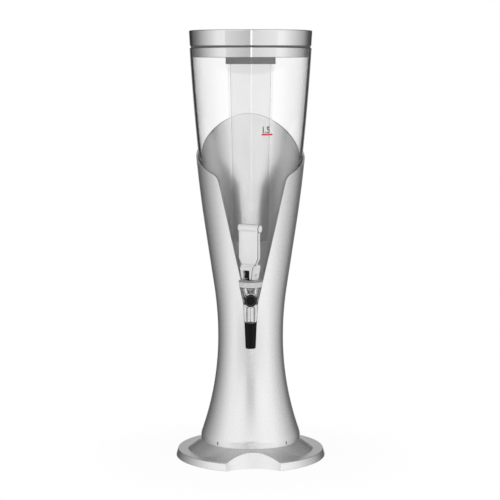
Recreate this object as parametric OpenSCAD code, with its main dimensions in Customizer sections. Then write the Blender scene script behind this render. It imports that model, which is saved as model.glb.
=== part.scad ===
// Table-top beer tower: a clear vessel with an ice tube, seated in a waisted column on a round base,
// with a lever tap that reaches out through the column's V opening. Millimetres, +Z up from the table,
// origin at the middle of the base. The tap points along -Y.

/* [Base] */
// Radius of the base at its lower edge
base_r = 90; // [84:1:96]
// Height of the upright band round the base
band_h = 8.6; // [7:0.2:11]
// How far the band leans in over its height
band_lean = 2.4; // [1:0.2:3.6]
// Radius where the flat rim ends and the cone begins
cone_r = 76; // [72:0.5:80]
// Height of the cone above the rim
cone_h = 11.6; // [10:0.2:14]
// Wall of the base moulding
base_wall = 2.5; // [2:0.1:3]
// Thickness of the shelf under the column
shelf_t = 3; // [2.4:0.2:4]
// Depth of the step that the column stands in
step_depth = 1.2; // [0.8:0.1:2]
// Distance from the middle to the axis of the second cone, which rises to the notch at the front
front_cone_c = 24; // [20:1:28]
// Width of the flat rim left in front of the second cone
front_rim = 0.2; // [0.1:0.1:2]
// Narrowing of the second cone for each millimetre of height
front_cone_lean = 2.38; // [2.2:0.02:2.8]
// Distance from the middle to the deepest point of the glass notch
notch_reach = 73; // [71:0.5:77]
// Radius of the glass notch
notch_r = 48; // [44:1:54]
// How far the notch wall leans back for each millimetre of height
notch_lean = 0.387; // [0.2:0.02:0.45]
// Thickness of the plate that closes the base
cover_t = 2; // [1.8:0.1:2.4]

/* [Rubber feet] */
// Radius of a rubber foot
foot_r = 8; // [6:0.5:9]
// Distance of the feet from the middle
foot_c = 70; // [66:0.5:73]
// Height of a foot that shows under the base
foot_show = 1; // [0.6:0.1:1.5]
// Depth of the pocket that a foot is stuck into
foot_pocket = 1; // [0.6:0.1:1.2]

/* [Column] */
// Radius of the upright skirt at the foot of the column
skirt_r = 59.6; // [57:0.2:61]
// Radius of the waist
waist_r = 39; // [38:0.25:41]
// Height of the waist above the shelf
waist_h = 127; // [122:1:132]
// Radius of the flare below the waist, in side view
flare_curve = 350; // [320:5:400]
// Radius of the curve above the waist, in side view
waist_curve = 400; // [370:5:430]
// Widening of the straight stretch for each millimetre of height
column_slope = 0.15; // [0.14:0.0025:0.155]
// Length from the waist to the end of the straight stretch
straight_end = 138; // [130:1:145]
// Radius of the swelling curve above the straight stretch
bulge_curve = 1290; // [1150:10:1500]
// Length from the waist to where the column starts to follow the vessel
follow_h = 203; // [198:1:208]
// Wall of the column
column_wall = 2.5; // [2:0.1:2.8]
// Turn of the column and base under the vessel
stand_turn = 2.2; // [0:0.2:4]

/* [Column rim] */
// Height above the waist of the rim at the front shoulders
shoulder_h = 196; // [192:1:199]
// Height above the waist of the rim at the sides
side_h = 214; // [210:1:218]
// Height above the waist of the rim at the back
back_h = 263.5; // [250:0.5:270]
// Azimuth from the front where the rim leaves the shoulder
shoulder_az = 45.5; // [43:0.5:48]
// Climb of the rim at the sides, for each degree round the column
side_climb = 0.42; // [0.3:0.02:0.5]
// Half angle of the V opening
v_half = 12.7; // [11.5:0.1:13]
// Radius of the rounded bottom of the V
v_bottom_r = 8.6; // [8.5:0.1:10]
// Radius of the shoulders of the V
v_shoulder_r = 12; // [8:0.5:14]
// Width of a lock slot in the skirt
slot_w = 1.5; // [1:0.1:2.5]
// Height of a lock slot in the skirt
slot_h = 4; // [3:0.2:5]
// Azimuth from the front of the lock slots
slot_az = 43; // [35:1:44]

/* [Vessel] */
// Wall of the vessel
vessel_wall = 3; // [2.4:0.1:3.4]
// Thickness of the vessel's floor
vessel_floor = 2.5; // [2.2:0.1:3]
// Height of the vessel's underside above the waist
vessel_seat = 38.5; // [37:0.5:39.5]
// Height of the vessel's rim above the waist
vessel_top = 342.5; // [335:0.5:350]
// Widening of the free part of the vessel for each millimetre of height
vessel_slope = 0.108; // [0.1:0.002:0.115]
// Radius of the swelling curve of the free part, in side view
vessel_curve = 2800; // [2500:50:3200]
// Rounding of the vessel's lower edge
vessel_round = 3; // [2:0.5:4]
// Clearance between the vessel and the column
seat_gap = 0.4; // [0.3:0.05:0.6]
// Inner radius of the ledge that carries the vessel
ledge_r = 28; // [24:1:31]
// Thickness of that ledge
ledge_t = 4; // [3:0.5:6]

/* [Lid] */
// Radius of the lid at its lower edge
lid_r = 71.7; // [71.4:0.1:73]
// How much wider the lid is at its top
lid_flare = 1.1; // [0.2:0.1:1.8]
// Height of the lid's skirt
lid_h = 18.2; // [16:0.2:22]
// Wall of the lid
lid_wall = 2; // [1.8:0.1:2.2]
// Rounding of the lid's upper edge
lid_round = 2; // [1:0.5:3]
// Depth of the dish in the lid's top
lid_dish = 0.8; // [0.4:0.1:1.2]
// Width of the lid's raised edge
lid_edge = 4; // [3:0.5:6]
// Height of the grey seal between lid and vessel
seal_h = 2.3; // [1.8:0.1:3]
// Width of the seal
seal_w = 4.6; // [4:0.1:5]
// Length of the plug below the seal
plug_h = 11.1; // [9:0.1:14]
// Radial clearance between the plug and the vessel
plug_gap = 0.6; // [0.4:0.1:0.9]
// Wall of the plug
plug_wall = 2.4; // [2:0.1:3]
// Depth of the groove that holds the seal
groove_depth = 2.4; // [2:0.1:2.8]

/* [Ice tube] */
// Outer radius of the ice tube under its collar
tube_r = 27; // [25:0.5:28]
// Narrowing of the tube for each millimetre of depth
tube_taper = 0.027; // [0.015:0.001:0.032]
// Length of the tube below its collar
tube_len = 212.4; // [190:0.5:216]
// Wall of the tube
tube_wall = 1.8; // [1.4:0.1:2.4]
// How much narrower the tube's neck is than the tube
neck_step = 1.1; // [0.8:0.1:1.4]
// Rise of the tube's domed end
tube_dome = 4; // [2:0.5:8]
// Height of the grey collar that holds the tube
collar_h = 7.7; // [7:0.1:9]
// Wall of the collar
collar_wall = 1.6; // [1.2:0.1:2]
// Width of the gap in which the tube's lugs run
lug_room = 1.7; // [1.4:0.1:2.2]
// Height of a lug, and of the ledge it hangs on
lug_h = 2.2; // [1.6:0.1:2.3]
// Number of lugs
lugs = 3; // [2:1:3]
// Clearance round the tube's neck and above its ledges
lug_gap = 0.3; // [0.25:0.05:0.4]

/* [Tap] */
// Distance of the tap's upright axis from the middle
tap_reach = 76; // [74:0.5:80]
// Height of the tap's bore above the vessel's underside
tap_rise = 16.4; // [15.5:0.2:17]
// Outer radius of the shank
shank_r = 5; // [4.6:0.1:5.2]
// Bore of the shank, as a radius
shank_bore = 2.8; // [2.4:0.1:3]
// Radius of the shoulder that presses on the gasket
collar_r = 6.4; // [6.2:0.1:6.5]
// Depth of the flat in the vessel that the gasket sits on
spot_depth = 1.2; // [1:0.1:1.4]
// How far the pad for the inner washer stands in from the vessel's wall
pad_depth = 1.4; // [1.2:0.1:2]
// Width of the pad's edge round the washer
pad_edge = 1; // [0.5:0.1:2]
// Thickness of the outer gasket
gasket_t = 2; // [1.5:0.1:2.5]
// Width of the hexagon nut across its flats
nut_af = 16; // [15:0.5:17]
// Thickness of the nut
nut_t = 5; // [4:0.5:6]
// Thickness of the inner washer
washer_t = 1.5; // [1:0.1:2]
// Outer radius of the body just below the seat
spout_r = 8.8; // [8.4:0.1:9]
// Outer radius of the spout above the nozzle
spout_low_r = 7.5; // [7.2:0.1:8]
// Height of the clear spout below the seat
spout_h = 23; // [18:0.5:28]
// Bore of the spout, as a radius
spout_bore = 3.6; // [3:0.1:3.8]
// Wall of the neck that goes into the nozzle
neck_wall = 1.8; // [1.4:0.1:2]
// Length of the neck that goes into the nozzle
neck_h = 12; // [8:0.5:16]
// Bore of the valve chamber, as a radius
chamber_r = 6.5; // [6.4:0.1:7]
// Height of the narrow part of the valve chamber
chamber_h = 7; // [6:0.2:8]
// Height of the seat below the tap's bore
seat_drop = 3.9; // [3.6:0.1:4.2]
// Radius of the funnel at its top
funnel_r = 12.7; // [12:0.1:13.4]
// Height of the funnel's top above the seat
funnel_h = 18; // [16:0.5:20]
// Radius of the boss that holds the front plug
boss_r = 8.7; // [8.2:0.1:8.8]
// Distance of the plug's face from the tap's upright axis
plug_reach = 14; // [13:0.2:15]
// Radius of the front plug
plug_r = 7.2; // [6.8:0.1:7.4]
// Thickness of the front plug's head
plug_t = 1.6; // [1.2:0.1:2.2]
// Width of the step behind the plug's head
plug_step = 1.5; // [1:0.1:2]
// Depth of the plug behind its head
plug_depth = 3.2; // [2.4:0.2:4]
// Width of the raised ring round the plug's face
plug_ring = 1.7; // [1.2:0.1:2.2]
// Depth of the plug's face inside that ring
plug_dish = 0.5; // [0.3:0.1:0.8]

/* [Nozzle] */
// Length of the black nozzle
nozzle_h = 30.6; // [24:0.2:36]
// Radius of the nozzle at its top
nozzle_r = 7.2; // [7:0.1:7.4]
// Radius of the nozzle at its mouth
nozzle_tip_r = 5.9; // [5.4:0.1:6.6]
// Bore of the nozzle's mouth, as a radius
nozzle_bore = 3.2; // [3:0.1:3.6]

/* [Bonnet and valve] */
// Height of the bonnet
bonnet_h = 8; // [7:0.2:10]
// Radius of the bonnet at its top
bonnet_r = 14; // [13.4:0.1:15]
// Radius of the bonnet at its lower edge
bonnet_low_r = 12.8; // [12.2:0.1:13.2]
// Thickness of the bonnet's top
bonnet_t = 2.2; // [1.8:0.1:3]
// Outer radius of the neck that the bonnet screws onto
thread_r = 10.5; // [10:0.1:11]
// Radius of the valve rod
rod_r = 1.6; // [1.3:0.1:1.8]
// Radius of the button that holds the rod in its head
button_r = 2.4; // [2.2:0.1:2.6]
// Radius of the head's sleeve in the bonnet
sleeve_r = 3.6; // [3.4:0.1:3.7]
// Height of the head's sleeve above the lower edge of the bonnet
sleeve_rise = 2; // [1.6:0.1:2.4]
// Height of the head's block above the bonnet
head_rise = 3; // [3:0.1:3.2]
// Width of the head between the lever's cheeks
head_w = 8; // [7:0.1:8]
// Distance of the head's front from the pin
head_front = 6.6; // [6:0.1:6.8]
// How far the head narrows at its waist, on each side
head_waist = 1; // [0.5:0.1:1.2]
// Height of the head's top below the fork's
head_drop = 5.5; // [5.2:0.1:6]
// Radius of the soft seat cup
cup_r = 5.8; // [5.4:0.1:6]
// Thickness of the seat cup's disc
cup_t = 2.5; // [2:0.1:3]
// Wall of the cup's neck round the rod
cup_wall = 1.4; // [1:0.1:1.6]
// Height of the cup's neck
cup_neck = 3.5; // [3:0.1:4]
// Height of the rod's lower end in the cup
rod_end = 1.5; // [1:0.1:2]
// Height of the button's lower side above the sleeve's lower end
button_rise = 3.6; // [3:0.1:4]
// Mean radius of the return spring
coil_r = 4.3; // [4.25:0.05:4.5]
// Thickness of the spring's wire
wire_d = 0.7; // [0.5:0.05:0.8]
// Turns of the return spring
coils = 7; // [5:1:9]
// Clearance of the parts that run in one another
run_gap = 0.08; // [0.04:0.01:0.1]

/* [Lever] */
// Turn of the lever about the tap's upright axis
lever_turn = -33; // [-60:1:60]
// Height of the lever's pin above the bonnet
pin_rise = 6; // [5.5:0.1:6.5]
// Radius of the lever's pin
pin_r = 1.5; // [1.2:0.1:1.8]
// Lift of the valve at the end of the lever's travel
valve_lift = 3; // [2:0.1:3.2]
// Travel of the lever in degrees
lever_travel = 45; // [35:1:50]
// Width of the fork at its top
fork_w = 18; // [17:0.5:19]
// Width of the fork at its foot
fork_low_w = 13; // [12.5:0.5:15]
// How far the fork's back leans in toward its foot
fork_lean = 1.2; // [0.5:0.1:1.5]
// Clearance between the head and each cheek of the fork
cheek_gap = 0.25; // [0.2:0.05:0.4]
// Depth of the fork behind the pin
fork_back = 8; // [7:0.2:9]
// Height of the fork's top above the pin
fork_top = 11; // [10.4:0.2:13]
// Height above the pin of the window in the fork's front, where the black head shows
window_h = 6.2; // [5.8:0.1:7.5]
// Width of the paddle
paddle_w = 26.5; // [24:0.5:28]
// Thickness of the paddle
paddle_t = 5; // [4:0.2:6]
// Height of the paddle's full width above the pin
paddle_low = 20; // [17:0.5:24]
// How far the paddle's middle stands in front of the pin
paddle_fore = 2.6; // [0:0.1:2.8]
// Height of the roll's middle above the pin
roll_rise = 54; // [48:0.5:60]
// Radius of the roll at the top of the lever
roll_r = 4.8; // [4:0.1:5.4]
// Length of the roll
roll_len = 28; // [26:0.5:30]
// How far the roll's middle stands in front of the pin
roll_fore = 1.6; // [0:0.1:2]
// Radius of the two ejector marks
mark_r = 1.6; // [1:0.1:2]

/* [Screws] */
// Radius of a screw's shank
screw_r = 1.5; // [1.2:0.1:1.8]
// Radius of a screw's head
screw_head_r = 3; // [2.6:0.1:3.4]
// Length of a screw below its head
screw_len = 11; // [9:0.5:12]
// Radius of a screw boss
boss_out_r = 4; // [3.4:0.1:4.6]
// Distance of the column's screws from the middle
column_screw_c = 46; // [43:0.5:49]
// Distance of the cover's screws from the middle
cover_screw_c = 50; // [46:0.5:54]
// Radial clearance of a screw in its boss, and of parts that are pushed or glued together
screw_gap = 0.05; // [0.02:0.01:0.08]

/* [Hidden] */

round_fn = 120;   // facets of the preview of a large round
small_fn = 48;    // facets of the preview of a small round
cut = 0.5;        // how far a cut runs past the face it opens
span = 12;        // height of one band of a curved wall
arc_n = 5;        // chords in a rounded corner

// Heights above the table
rim_z = foot_show + band_h;
cone_z = rim_z + cone_h;
shelf_z = cone_z - step_depth;
cover_z = foot_show + cover_t;
waist_z = shelf_z + waist_h;
skirt_z = waist_z - sqrt(pow(flare_curve, 2) - pow(flare_curve - skirt_r + waist_r, 2));
arc_end_z = waist_z + waist_curve * sin(atan(column_slope));
straight_z = waist_z + straight_end;
follow_z = waist_z + follow_h;
seat_z = waist_z + vessel_seat;
vessel_z = waist_z + vessel_top;
shoulder_z = waist_z + shoulder_h;
side_z = waist_z + side_h;
back_z = waist_z + back_h;
tap_z = seat_z + tap_rise;
valve_z = tap_z - seat_drop;
funnel_z = valve_z + funnel_h;
bonnet_z = funnel_z + bonnet_h;
pin_z = bonnet_z + pin_rise;
spout_z = valve_z - spout_h;
nozzle_z = spout_z - nozzle_h;
lid_z = vessel_z + seal_h;
lid_top = lid_z + lid_h;
plug_z = vessel_z - plug_h;
collar_z = plug_z - collar_h;
tube_end_z = collar_z - lug_gap - tube_len;

// Radii and depths that follow from the sizes above
notch_c = notch_reach + notch_r;
face_gap = 0.4;                                   // room between the cover's edge and the base
seat_play = 0.01;                                 // keeps rounding from pressing the vessel into its ledge
cover_r = base_r - base_wall - band_lean * cover_z / band_h - face_gap;
vessel_free_r = column_curve(follow_z) - column_wall - seat_gap;
spot_y = vessel_r(tap_z) - spot_depth;            // flat outside the vessel that the gasket sits on
pad_y = vessel_in(tap_z) - pad_depth;             // flat inside the vessel that the washer sits on
pad_r = nut_af / 2 + pad_edge;
shank_end_y = pad_y - washer_t - nut_t - 3;       // inner end of the shank
neck_r = tube_r - neck_step;                      // the tube's neck, inside its collar
collar_in_r = neck_r + lug_room + lug_gap;
hole_r = vessel_r(vessel_z) - vessel_wall;        // mouth of the vessel
roof_z = lid_top - lid_wall - lid_dish;           // underside of the lid's top
head_z = bonnet_z + head_rise;                    // underside of the head's block
sleeve_z = funnel_z + sleeve_rise;                // lower end of the head's sleeve
button_z = sleeve_z + button_rise;
cam_rate = valve_lift / (lever_travel * PI / 180);
heel = pin_rise - run_gap;                        // from the pin down to the fork's foot
cup_z = valve_z + cup_t;
thread_top = bonnet_z - bonnet_t;

// ---- curves ----

// Points at even steps from a to b, at most step apart.
function steps(a, b, step) = let (n = ceil(abs(b - a) / step)) [for (i = [0:n]) a + (b - a) * i / n];
// Points of an arc about c from angle a0 to a1.
function arc(c, r, a0, a1, n = arc_n) =
    [for (i = [0:n]) let (a = a0 + (a1 - a0) * i / n) c + r * [cos(a), sin(a)]];
function reversed(list) = [for (i = [len(list) - 1:-1:0]) list[i]];
function unit(v) = v / norm(v);
// Rounded corner of radius r at point c between the lines to a and b.
function corner(a, c, b, r, n = arc_n) = let (
    u = unit(a - c), v = unit(b - c), half = acos(u * v) / 2,
    m = c + unit(u + v) * r / sin(half),
    p = c + u * r / tan(half) - m, q = c + v * r / tan(half) - m,
    a0 = atan2(p[1], p[0]), turn = atan2(q[1], q[0]) - a0,
    sweep = turn > 180 ? turn - 360 : turn < -180 ? turn + 360 : turn
) arc(m, r, a0, a0 + sweep, n);

// Outer radius of the column below the height where it starts to follow the vessel.
function column_curve(z) =
    z <= skirt_z ? skirt_r
    : z <= waist_z ? waist_r + flare_curve - sqrt(pow(flare_curve, 2) - pow(z - waist_z, 2))
    : z <= arc_end_z ? waist_r + waist_curve - sqrt(pow(waist_curve, 2) - pow(z - waist_z, 2))
    : z <= straight_z ? column_curve(arc_end_z) + column_slope * (z - arc_end_z)
    : column_curve(straight_z) + column_slope * (z - straight_z)
        - pow(z - straight_z, 2) / (2 * bulge_curve);
// Outer radius of the vessel at any height.
function vessel_r(z) =
    z <= follow_z ? column_curve(z) - column_wall - seat_gap
    : vessel_free_r + vessel_slope * (z - follow_z) - pow(z - follow_z, 2) / (2 * vessel_curve);
// Outer radius of the column at any height.
function column_r(z) = z <= follow_z ? column_curve(z) : vessel_r(z) + seat_gap + column_wall;
function column_in(z) = column_r(z) - column_wall;
function vessel_in(z) = vessel_r(z) - vessel_wall;

// Height of the rim at an azimuth from the front, from the shoulder round to the back.
function rim_height(az) =
    az <= 90 ? shoulder_z + (side_z - shoulder_z) * (az - shoulder_az) / (90 - shoulder_az)
    : let (u = (az - 90) / 90)
        side_z * (1 - 3 * u * u + 2 * u * u * u) + back_z * (3 * u * u - 2 * u * u * u)
        + 90 * side_climb * u * pow(1 - u, 2);

// ---- shared shapes ----

module revolve(points, fn = round_fn) rotate_extrude($fn = fn) polygon(points);
module rod(r, h, fn = small_fn) cylinder(r = r, h = h, $fn = fn);
// A cylinder along -Y from y0 to y1, both given as distances in front of the middle.
module rod_y(r, y0, y1, fn = small_fn) translate([0, -y0, 0]) rotate([90, 0, 0]) rod(r, y1 - y0, fn);
module rod_x(r, w) translate([-w / 2, 0, 0]) rotate([0, 90, 0]) rod(r, w);
module at_stand() rotate([0, 0, stand_turn]) children();
module at_tap() translate([0, -tap_reach, 0]) children();
module at_lever() translate([0, -tap_reach, pin_z]) rotate([0, 0, lever_turn]) children();
module at_screw(c, a) rotate([0, 0, a]) translate([c, 0, 0]) children();
// A shape drawn in front view and cut along Y from the front of the middle to depth d.
module front_prism(d) translate([0, d / 2, 0]) rotate([90, 0, 0]) linear_extrude(d) children();

// ---- stand ----

// Front view of one edge of the V: its rounded bottom, its straight side and its shoulder.
v_centre_z = tap_z;
v_start = [v_bottom_r * cos(v_half), v_centre_z - v_bottom_r * sin(v_half)];
v_dir = [sin(v_half), cos(v_half)];
shoulder_x = (column_r(shoulder_z) - column_wall / 2) * sin(shoulder_az);
shoulder_slope = (side_z - shoulder_z) / (90 - shoulder_az)
    / ((column_r(shoulder_z) - column_wall / 2) * cos(shoulder_az) * PI / 180);
v_reach = (shoulder_z - v_start[1] + shoulder_slope * (v_start[0] - shoulder_x))
    / (v_dir[1] - shoulder_slope * v_dir[0]);
v_corner = v_start + v_dir * v_reach;
v_outline = concat(
    arc([0, v_centre_z], v_bottom_r, -90, -v_half, 7),
    [for (i = [1:9]) v_start + v_dir * v_reach * i / 10],
    corner(v_start, v_corner, v_corner + [1, shoulder_slope], v_shoulder_r));
// The rim as [azimuth, height] from the bottom of the V round one side to the back.
rim_half = concat(
    [for (p = v_outline) [asin(p[0] / (column_r(p[1]) - column_wall / 2)), p[1]]],
    [for (a = steps(shoulder_az + 3, 180, 6)) [a, rim_height(a)]]);
rim_loop = concat(rim_half, [for (i = [len(rim_half) - 2:-1:1]) [-rim_half[i][0], rim_half[i][1]]]);

// Everything above the rim's outline, cut square through the wall.
module rim_cutter() {
    inner = ledge_r;
    outer = base_r;
    top = back_z + span;
    n = len(rim_loop);
    points = [for (p = rim_loop) let (d = [sin(p[0]), -cos(p[0])])
        each [[d[0] * inner, d[1] * inner, p[1]], [d[0] * outer, d[1] * outer, p[1]],
              [d[0] * outer, d[1] * outer, top], [d[0] * inner, d[1] * inner, top]]];
    faces = [for (i = [0:n - 1]) let (a = 4 * i, b = 4 * ((i + 1) % n))
        for (k = [0:3]) let (m = (k + 1) % 4)
            each [[a + k, a + m, b + m], [a + k, b + m, b + k]]];
    polyhedron(points, faces);
}

// Wall of the column with the ledge that carries the vessel.
module column_wall_solid() {
    top = back_z + cut;
    ledge_z = seat_z - seat_play;
    ledge_low = seat_z - ledge_t;
    under = ledge_low - (column_in(ledge_low) - ledge_r) / 2;
    outer_z = concat([shelf_z], steps(skirt_z, waist_z, span), steps(waist_z, arc_end_z, span),
        [straight_z], steps(straight_z, follow_z, span), steps(follow_z, top, span));
    inner_high = concat([ledge_z], steps(arc_end_z, straight_z, 2 * straight_end),
        steps(straight_z, follow_z, span), steps(follow_z, top, span));
    inner_low = concat([shelf_z], steps(skirt_z, waist_z, span), [under]);
    revolve(concat(
        [for (z = outer_z) [column_r(z), z]],
        reversed([for (z = inner_high) [column_in(z), z]]),
        [[ledge_r, ledge_z], [ledge_r, ledge_low]],
        reversed([for (z = inner_low) [column_in(z), z]])));
}

// Screw boss in the foot of the column, with the rib that ties it to the wall.
module column_boss() {
    h = screw_len + boss_out_r;
    rib = 2;
    wall_in = column_in(shelf_z + h);
    translate([0, 0, shelf_z]) {
        rod(boss_out_r, h);
        translate([0, -rib / 2, 0])
            cube([wall_in + column_wall / 2 - column_screw_c, rib, h]);
    }
}

module column_shell() color("silver") at_stand() {
    slot_z = shelf_z + step_depth + 1.3;
    difference() {
        union() {
            column_wall_solid();
            for (i = [0:3]) at_screw(column_screw_c, 45 + 90 * i) column_boss();
        }
        rim_cutter();
        for (i = [0:3]) at_screw(column_screw_c, 45 + 90 * i)
            translate([0, 0, shelf_z - cut]) rod(screw_r + screw_gap, screw_len - shelf_t + 1 + cut);
        for (side = [-1, 1]) rotate([0, 0, side * slot_az])
            translate([-slot_w / 2, -skirt_r - cut, slot_z]) cube([slot_w, column_wall + 2 * cut, slot_h]);
    }
}

// Cone that cuts the front of the base for the glass, grown by a margin.
module notch_cone(grow = 0) {
    low_z = -1;
    high_z = cone_z + 2;
    translate([0, -notch_c, low_z])
        cylinder(r1 = notch_r + grow + notch_lean * (low_z - foot_show),
                 r2 = notch_r + grow + notch_lean * (high_z - foot_show),
                 h = high_z - low_z, $fn = round_fn);
}

// Second cone of the base, grown by a margin, from a height up to the top of the first.
module front_cone(low_z, grow = 0) {
    foot = base_r - band_lean - front_rim - front_cone_c + grow - front_cone_lean * (low_z - rim_z - grow);
    h = cone_z - low_z;
    translate([0, -front_cone_c, low_z])
        cylinder(r1 = foot, r2 = foot - front_cone_lean * h, h = h, $fn = round_fn);
}

module base_foot() color("silver") at_stand() {
    band_top_r = base_r - band_lean;
    seat_r = skirt_r + face_gap;
    under_z = shelf_z - shelf_t;
    inner_rim_z = rim_z - base_wall;
    difference() {
        union() {
            revolve([[0, foot_show], [base_r, foot_show], [band_top_r, rim_z], [cone_r, rim_z],
                     [seat_r, cone_z], [0, cone_z]]);
            front_cone(rim_z);
        }
        translate([0, 0, shelf_z]) rod(seat_r, step_depth + cut, round_fn);
        notch_cone();
        difference() {
            union() {
                revolve([[0, 0], [base_r - base_wall, 0], [band_top_r - base_wall, inner_rim_z],
                         [cone_r - base_wall / 2, inner_rim_z], [seat_r + base_wall, under_z], [0, under_z]]);
                intersection() {
                    front_cone(inner_rim_z, -base_wall);
                    rod(base_r, under_z, round_fn);
                }
            }
            notch_cone(base_wall);
            for (i = [0:3]) at_screw(cover_screw_c, 90 * i)
                translate([0, 0, cover_z]) rod(boss_out_r, under_z);
        }
        for (i = [0:3]) at_screw(cover_screw_c, 90 * i)
            translate([0, 0, cover_z - cut]) rod(screw_r + screw_gap, screw_len + cut);
        for (i = [0:3]) at_screw(column_screw_c, 45 + 90 * i)
            translate([0, 0, under_z - cut]) rod(screw_r + 2 * screw_gap, shelf_t + 2 * cut);
    }
}

module base_cover() color("dimgray") at_stand() difference() {
    translate([0, 0, foot_show]) rod(cover_r, cover_t, round_fn);
    notch_cone(base_wall + face_gap);
    for (i = [0:3]) {
        at_screw(foot_c, 45 + 90 * i)
            translate([0, 0, foot_show - cut]) rod(foot_r + face_gap, foot_pocket + cut);
        at_screw(cover_screw_c, 90 * i) translate([0, 0, foot_show]) {
            translate([0, 0, -cut]) rod(screw_r + 2 * screw_gap, cover_t + 2 * cut);
            cylinder(r1 = screw_head_r + screw_gap, r2 = screw_r + 2 * screw_gap,
                     h = screw_head_r - screw_r, $fn = small_fn);
        }
    }
}

// Pan-head screw that holds the column to the shelf from below.
module column_screw(i) color("gainsboro") at_stand() at_screw(column_screw_c, 45 + 90 * i)
    translate([0, 0, shelf_z - shelf_t]) {
        rod(screw_r, screw_len);
        translate([0, 0, -screw_r]) revolve([[0, 0], [screw_head_r - 0.6, 0], [screw_head_r, 0.6],
                                             [screw_head_r, screw_r], [0, screw_r]], small_fn);
    }

// Countersunk screw that holds the cover plate.
module cover_screw(i) color("gainsboro") at_stand() at_screw(cover_screw_c, 90 * i)
    translate([0, 0, foot_show])
        revolve([[0, 0], [screw_head_r, 0], [screw_r, screw_head_r - screw_r],
                 [screw_r, screw_len], [0, screw_len]], small_fn);

module rubber_foot(i) color("black") at_stand() at_screw(foot_c, 45 + 90 * i)
    revolve([[0, 0], [foot_r - 0.5, 0], [foot_r, 0.5], [foot_r, foot_show + foot_pocket],
             [0, foot_show + foot_pocket]], small_fn);

// ---- vessel and lid ----

module beer_vessel() color("lightblue", 0.4) {
    low_r = vessel_r(seat_z + vessel_round);
    inner_low = seat_z + vessel_floor;
    lip = 0.5;
    outer_z = concat(steps(seat_z + vessel_round, arc_end_z, span), [straight_z],
        steps(straight_z, follow_z, span), steps(follow_z, vessel_z - lip, 2 * span));
    inner_z = concat([inner_low], steps(arc_end_z, straight_z, 2 * straight_end),
        steps(straight_z, follow_z, span), steps(follow_z, vessel_z, 2 * span));
    difference() {
        union() {
            revolve(concat(
                [[0, seat_z]], arc([low_r - vessel_round, seat_z + vessel_round], vessel_round, -90, 0, 4),
                [for (z = outer_z) [vessel_r(z), z]],
                [[vessel_r(vessel_z) - lip, vessel_z]],
                reversed([for (z = inner_z) [vessel_in(z), z]]),
                [[0, inner_low]]));
            translate([0, 0, tap_z]) rod_y(pad_r, pad_y, vessel_in(tap_z) + vessel_wall / 2);
        }
        translate([0, 0, tap_z]) {
            rod_y(shank_r + face_gap / 2, pad_y - cut, vessel_r(tap_z) + cut);
            rod_y(collar_r + face_gap, spot_y, vessel_r(tap_z) + 4);
        }
    }
}

module lid_cap() color("silver") {
    top_r = lid_r + lid_flare;
    in_r = lid_r - lid_wall;
    dish_z = lid_top - lid_dish;
    dish_slope = 1;
    revolve(concat(
        [[in_r, lid_z], [lid_r, lid_z]],
        arc([top_r - lid_round, lid_top - lid_round], lid_round, 0, 90),
        [[top_r - lid_edge, lid_top], [top_r - lid_edge - dish_slope, dish_z], [0, dish_z],
         [0, roof_z], [in_r, roof_z]]));
}

// Cup below the lid: it enters the vessel's mouth, carries the seal and holds the tube's collar.
module lid_plug() color("silver") {
    out_r = hole_r - plug_gap;
    low_r = vessel_in(plug_z) - plug_gap;
    groove_r = out_r - groove_depth;
    bore_r = groove_r - plug_wall;
    flange_r = lid_r - lid_wall - screw_gap;
    flange_t = 3;
    revolve([[0, plug_z], [low_r, plug_z], [out_r, vessel_z], [groove_r, vessel_z], [groove_r, lid_z],
             [flange_r, lid_z], [flange_r, lid_z + flange_t], [groove_r, lid_z + flange_t],
             [groove_r, roof_z], [bore_r, roof_z], [bore_r, plug_z + plug_wall], [0, plug_z + plug_wall]]);
}

module lid_seal() color("dimgray") {
    in_r = hole_r - plug_gap - groove_depth;
    edge = 0.4;
    revolve([[in_r, vessel_z], [in_r + seal_w - edge, vessel_z], [in_r + seal_w, vessel_z + edge],
             [in_r + seal_w, lid_z - edge], [in_r + seal_w - edge, lid_z], [in_r, lid_z]]);
}

// Ring sector centred on an azimuth, for the bayonet's ledges and lugs.
module sector(r0, r1, h, width, centre) rotate([0, 0, centre - width / 2])
    rotate_extrude(angle = width, $fn = round_fn) translate([r0, 0]) square([r1 - r0, h]);

ledge_span = 180 / lugs - 4;
module tube_collar() color("gray") translate([0, 0, collar_z]) {
    difference() {
        rod(collar_in_r + collar_wall, collar_h, round_fn);
        translate([0, 0, -cut]) rod(collar_in_r, collar_h + 2 * cut, round_fn);
    }
    for (i = [1:lugs]) sector(neck_r + lug_gap, collar_in_r + collar_wall / 2, lug_h, ledge_span, 360 * i / lugs);
}

module ice_tube() color("white", 0.6) {
    top = plug_z - lug_gap;
    shoulder = collar_z - lug_gap;
    low_r = tube_r - tube_taper * tube_len;
    dome_z = tube_end_z + tube_dome;
    in_r = low_r - tube_wall;
    dome = function (r, z0, rise) [for (i = [arc_n:-1:1]) [r * i / arc_n, z0 - rise * (1 - pow(i / arc_n, 2))]];
    revolve(concat(
        [[neck_r, top], [neck_r, shoulder], [tube_r, shoulder]],
        dome(low_r, dome_z, tube_dome),
        [[0, tube_end_z], [0, tube_end_z + tube_wall]],
        reversed(dome(in_r, dome_z + tube_wall, tube_dome)),
        [[neck_r - tube_wall, shoulder - 2 * tube_wall], [neck_r - tube_wall, top]]));
    for (i = [1:lugs]) translate([0, 0, collar_z + lug_h + lug_gap])
        sector(neck_r - tube_wall / 2, neck_r + lug_room, lug_h, ledge_span - 4, 360 * i / lugs);
}

// ---- tap ----

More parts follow.
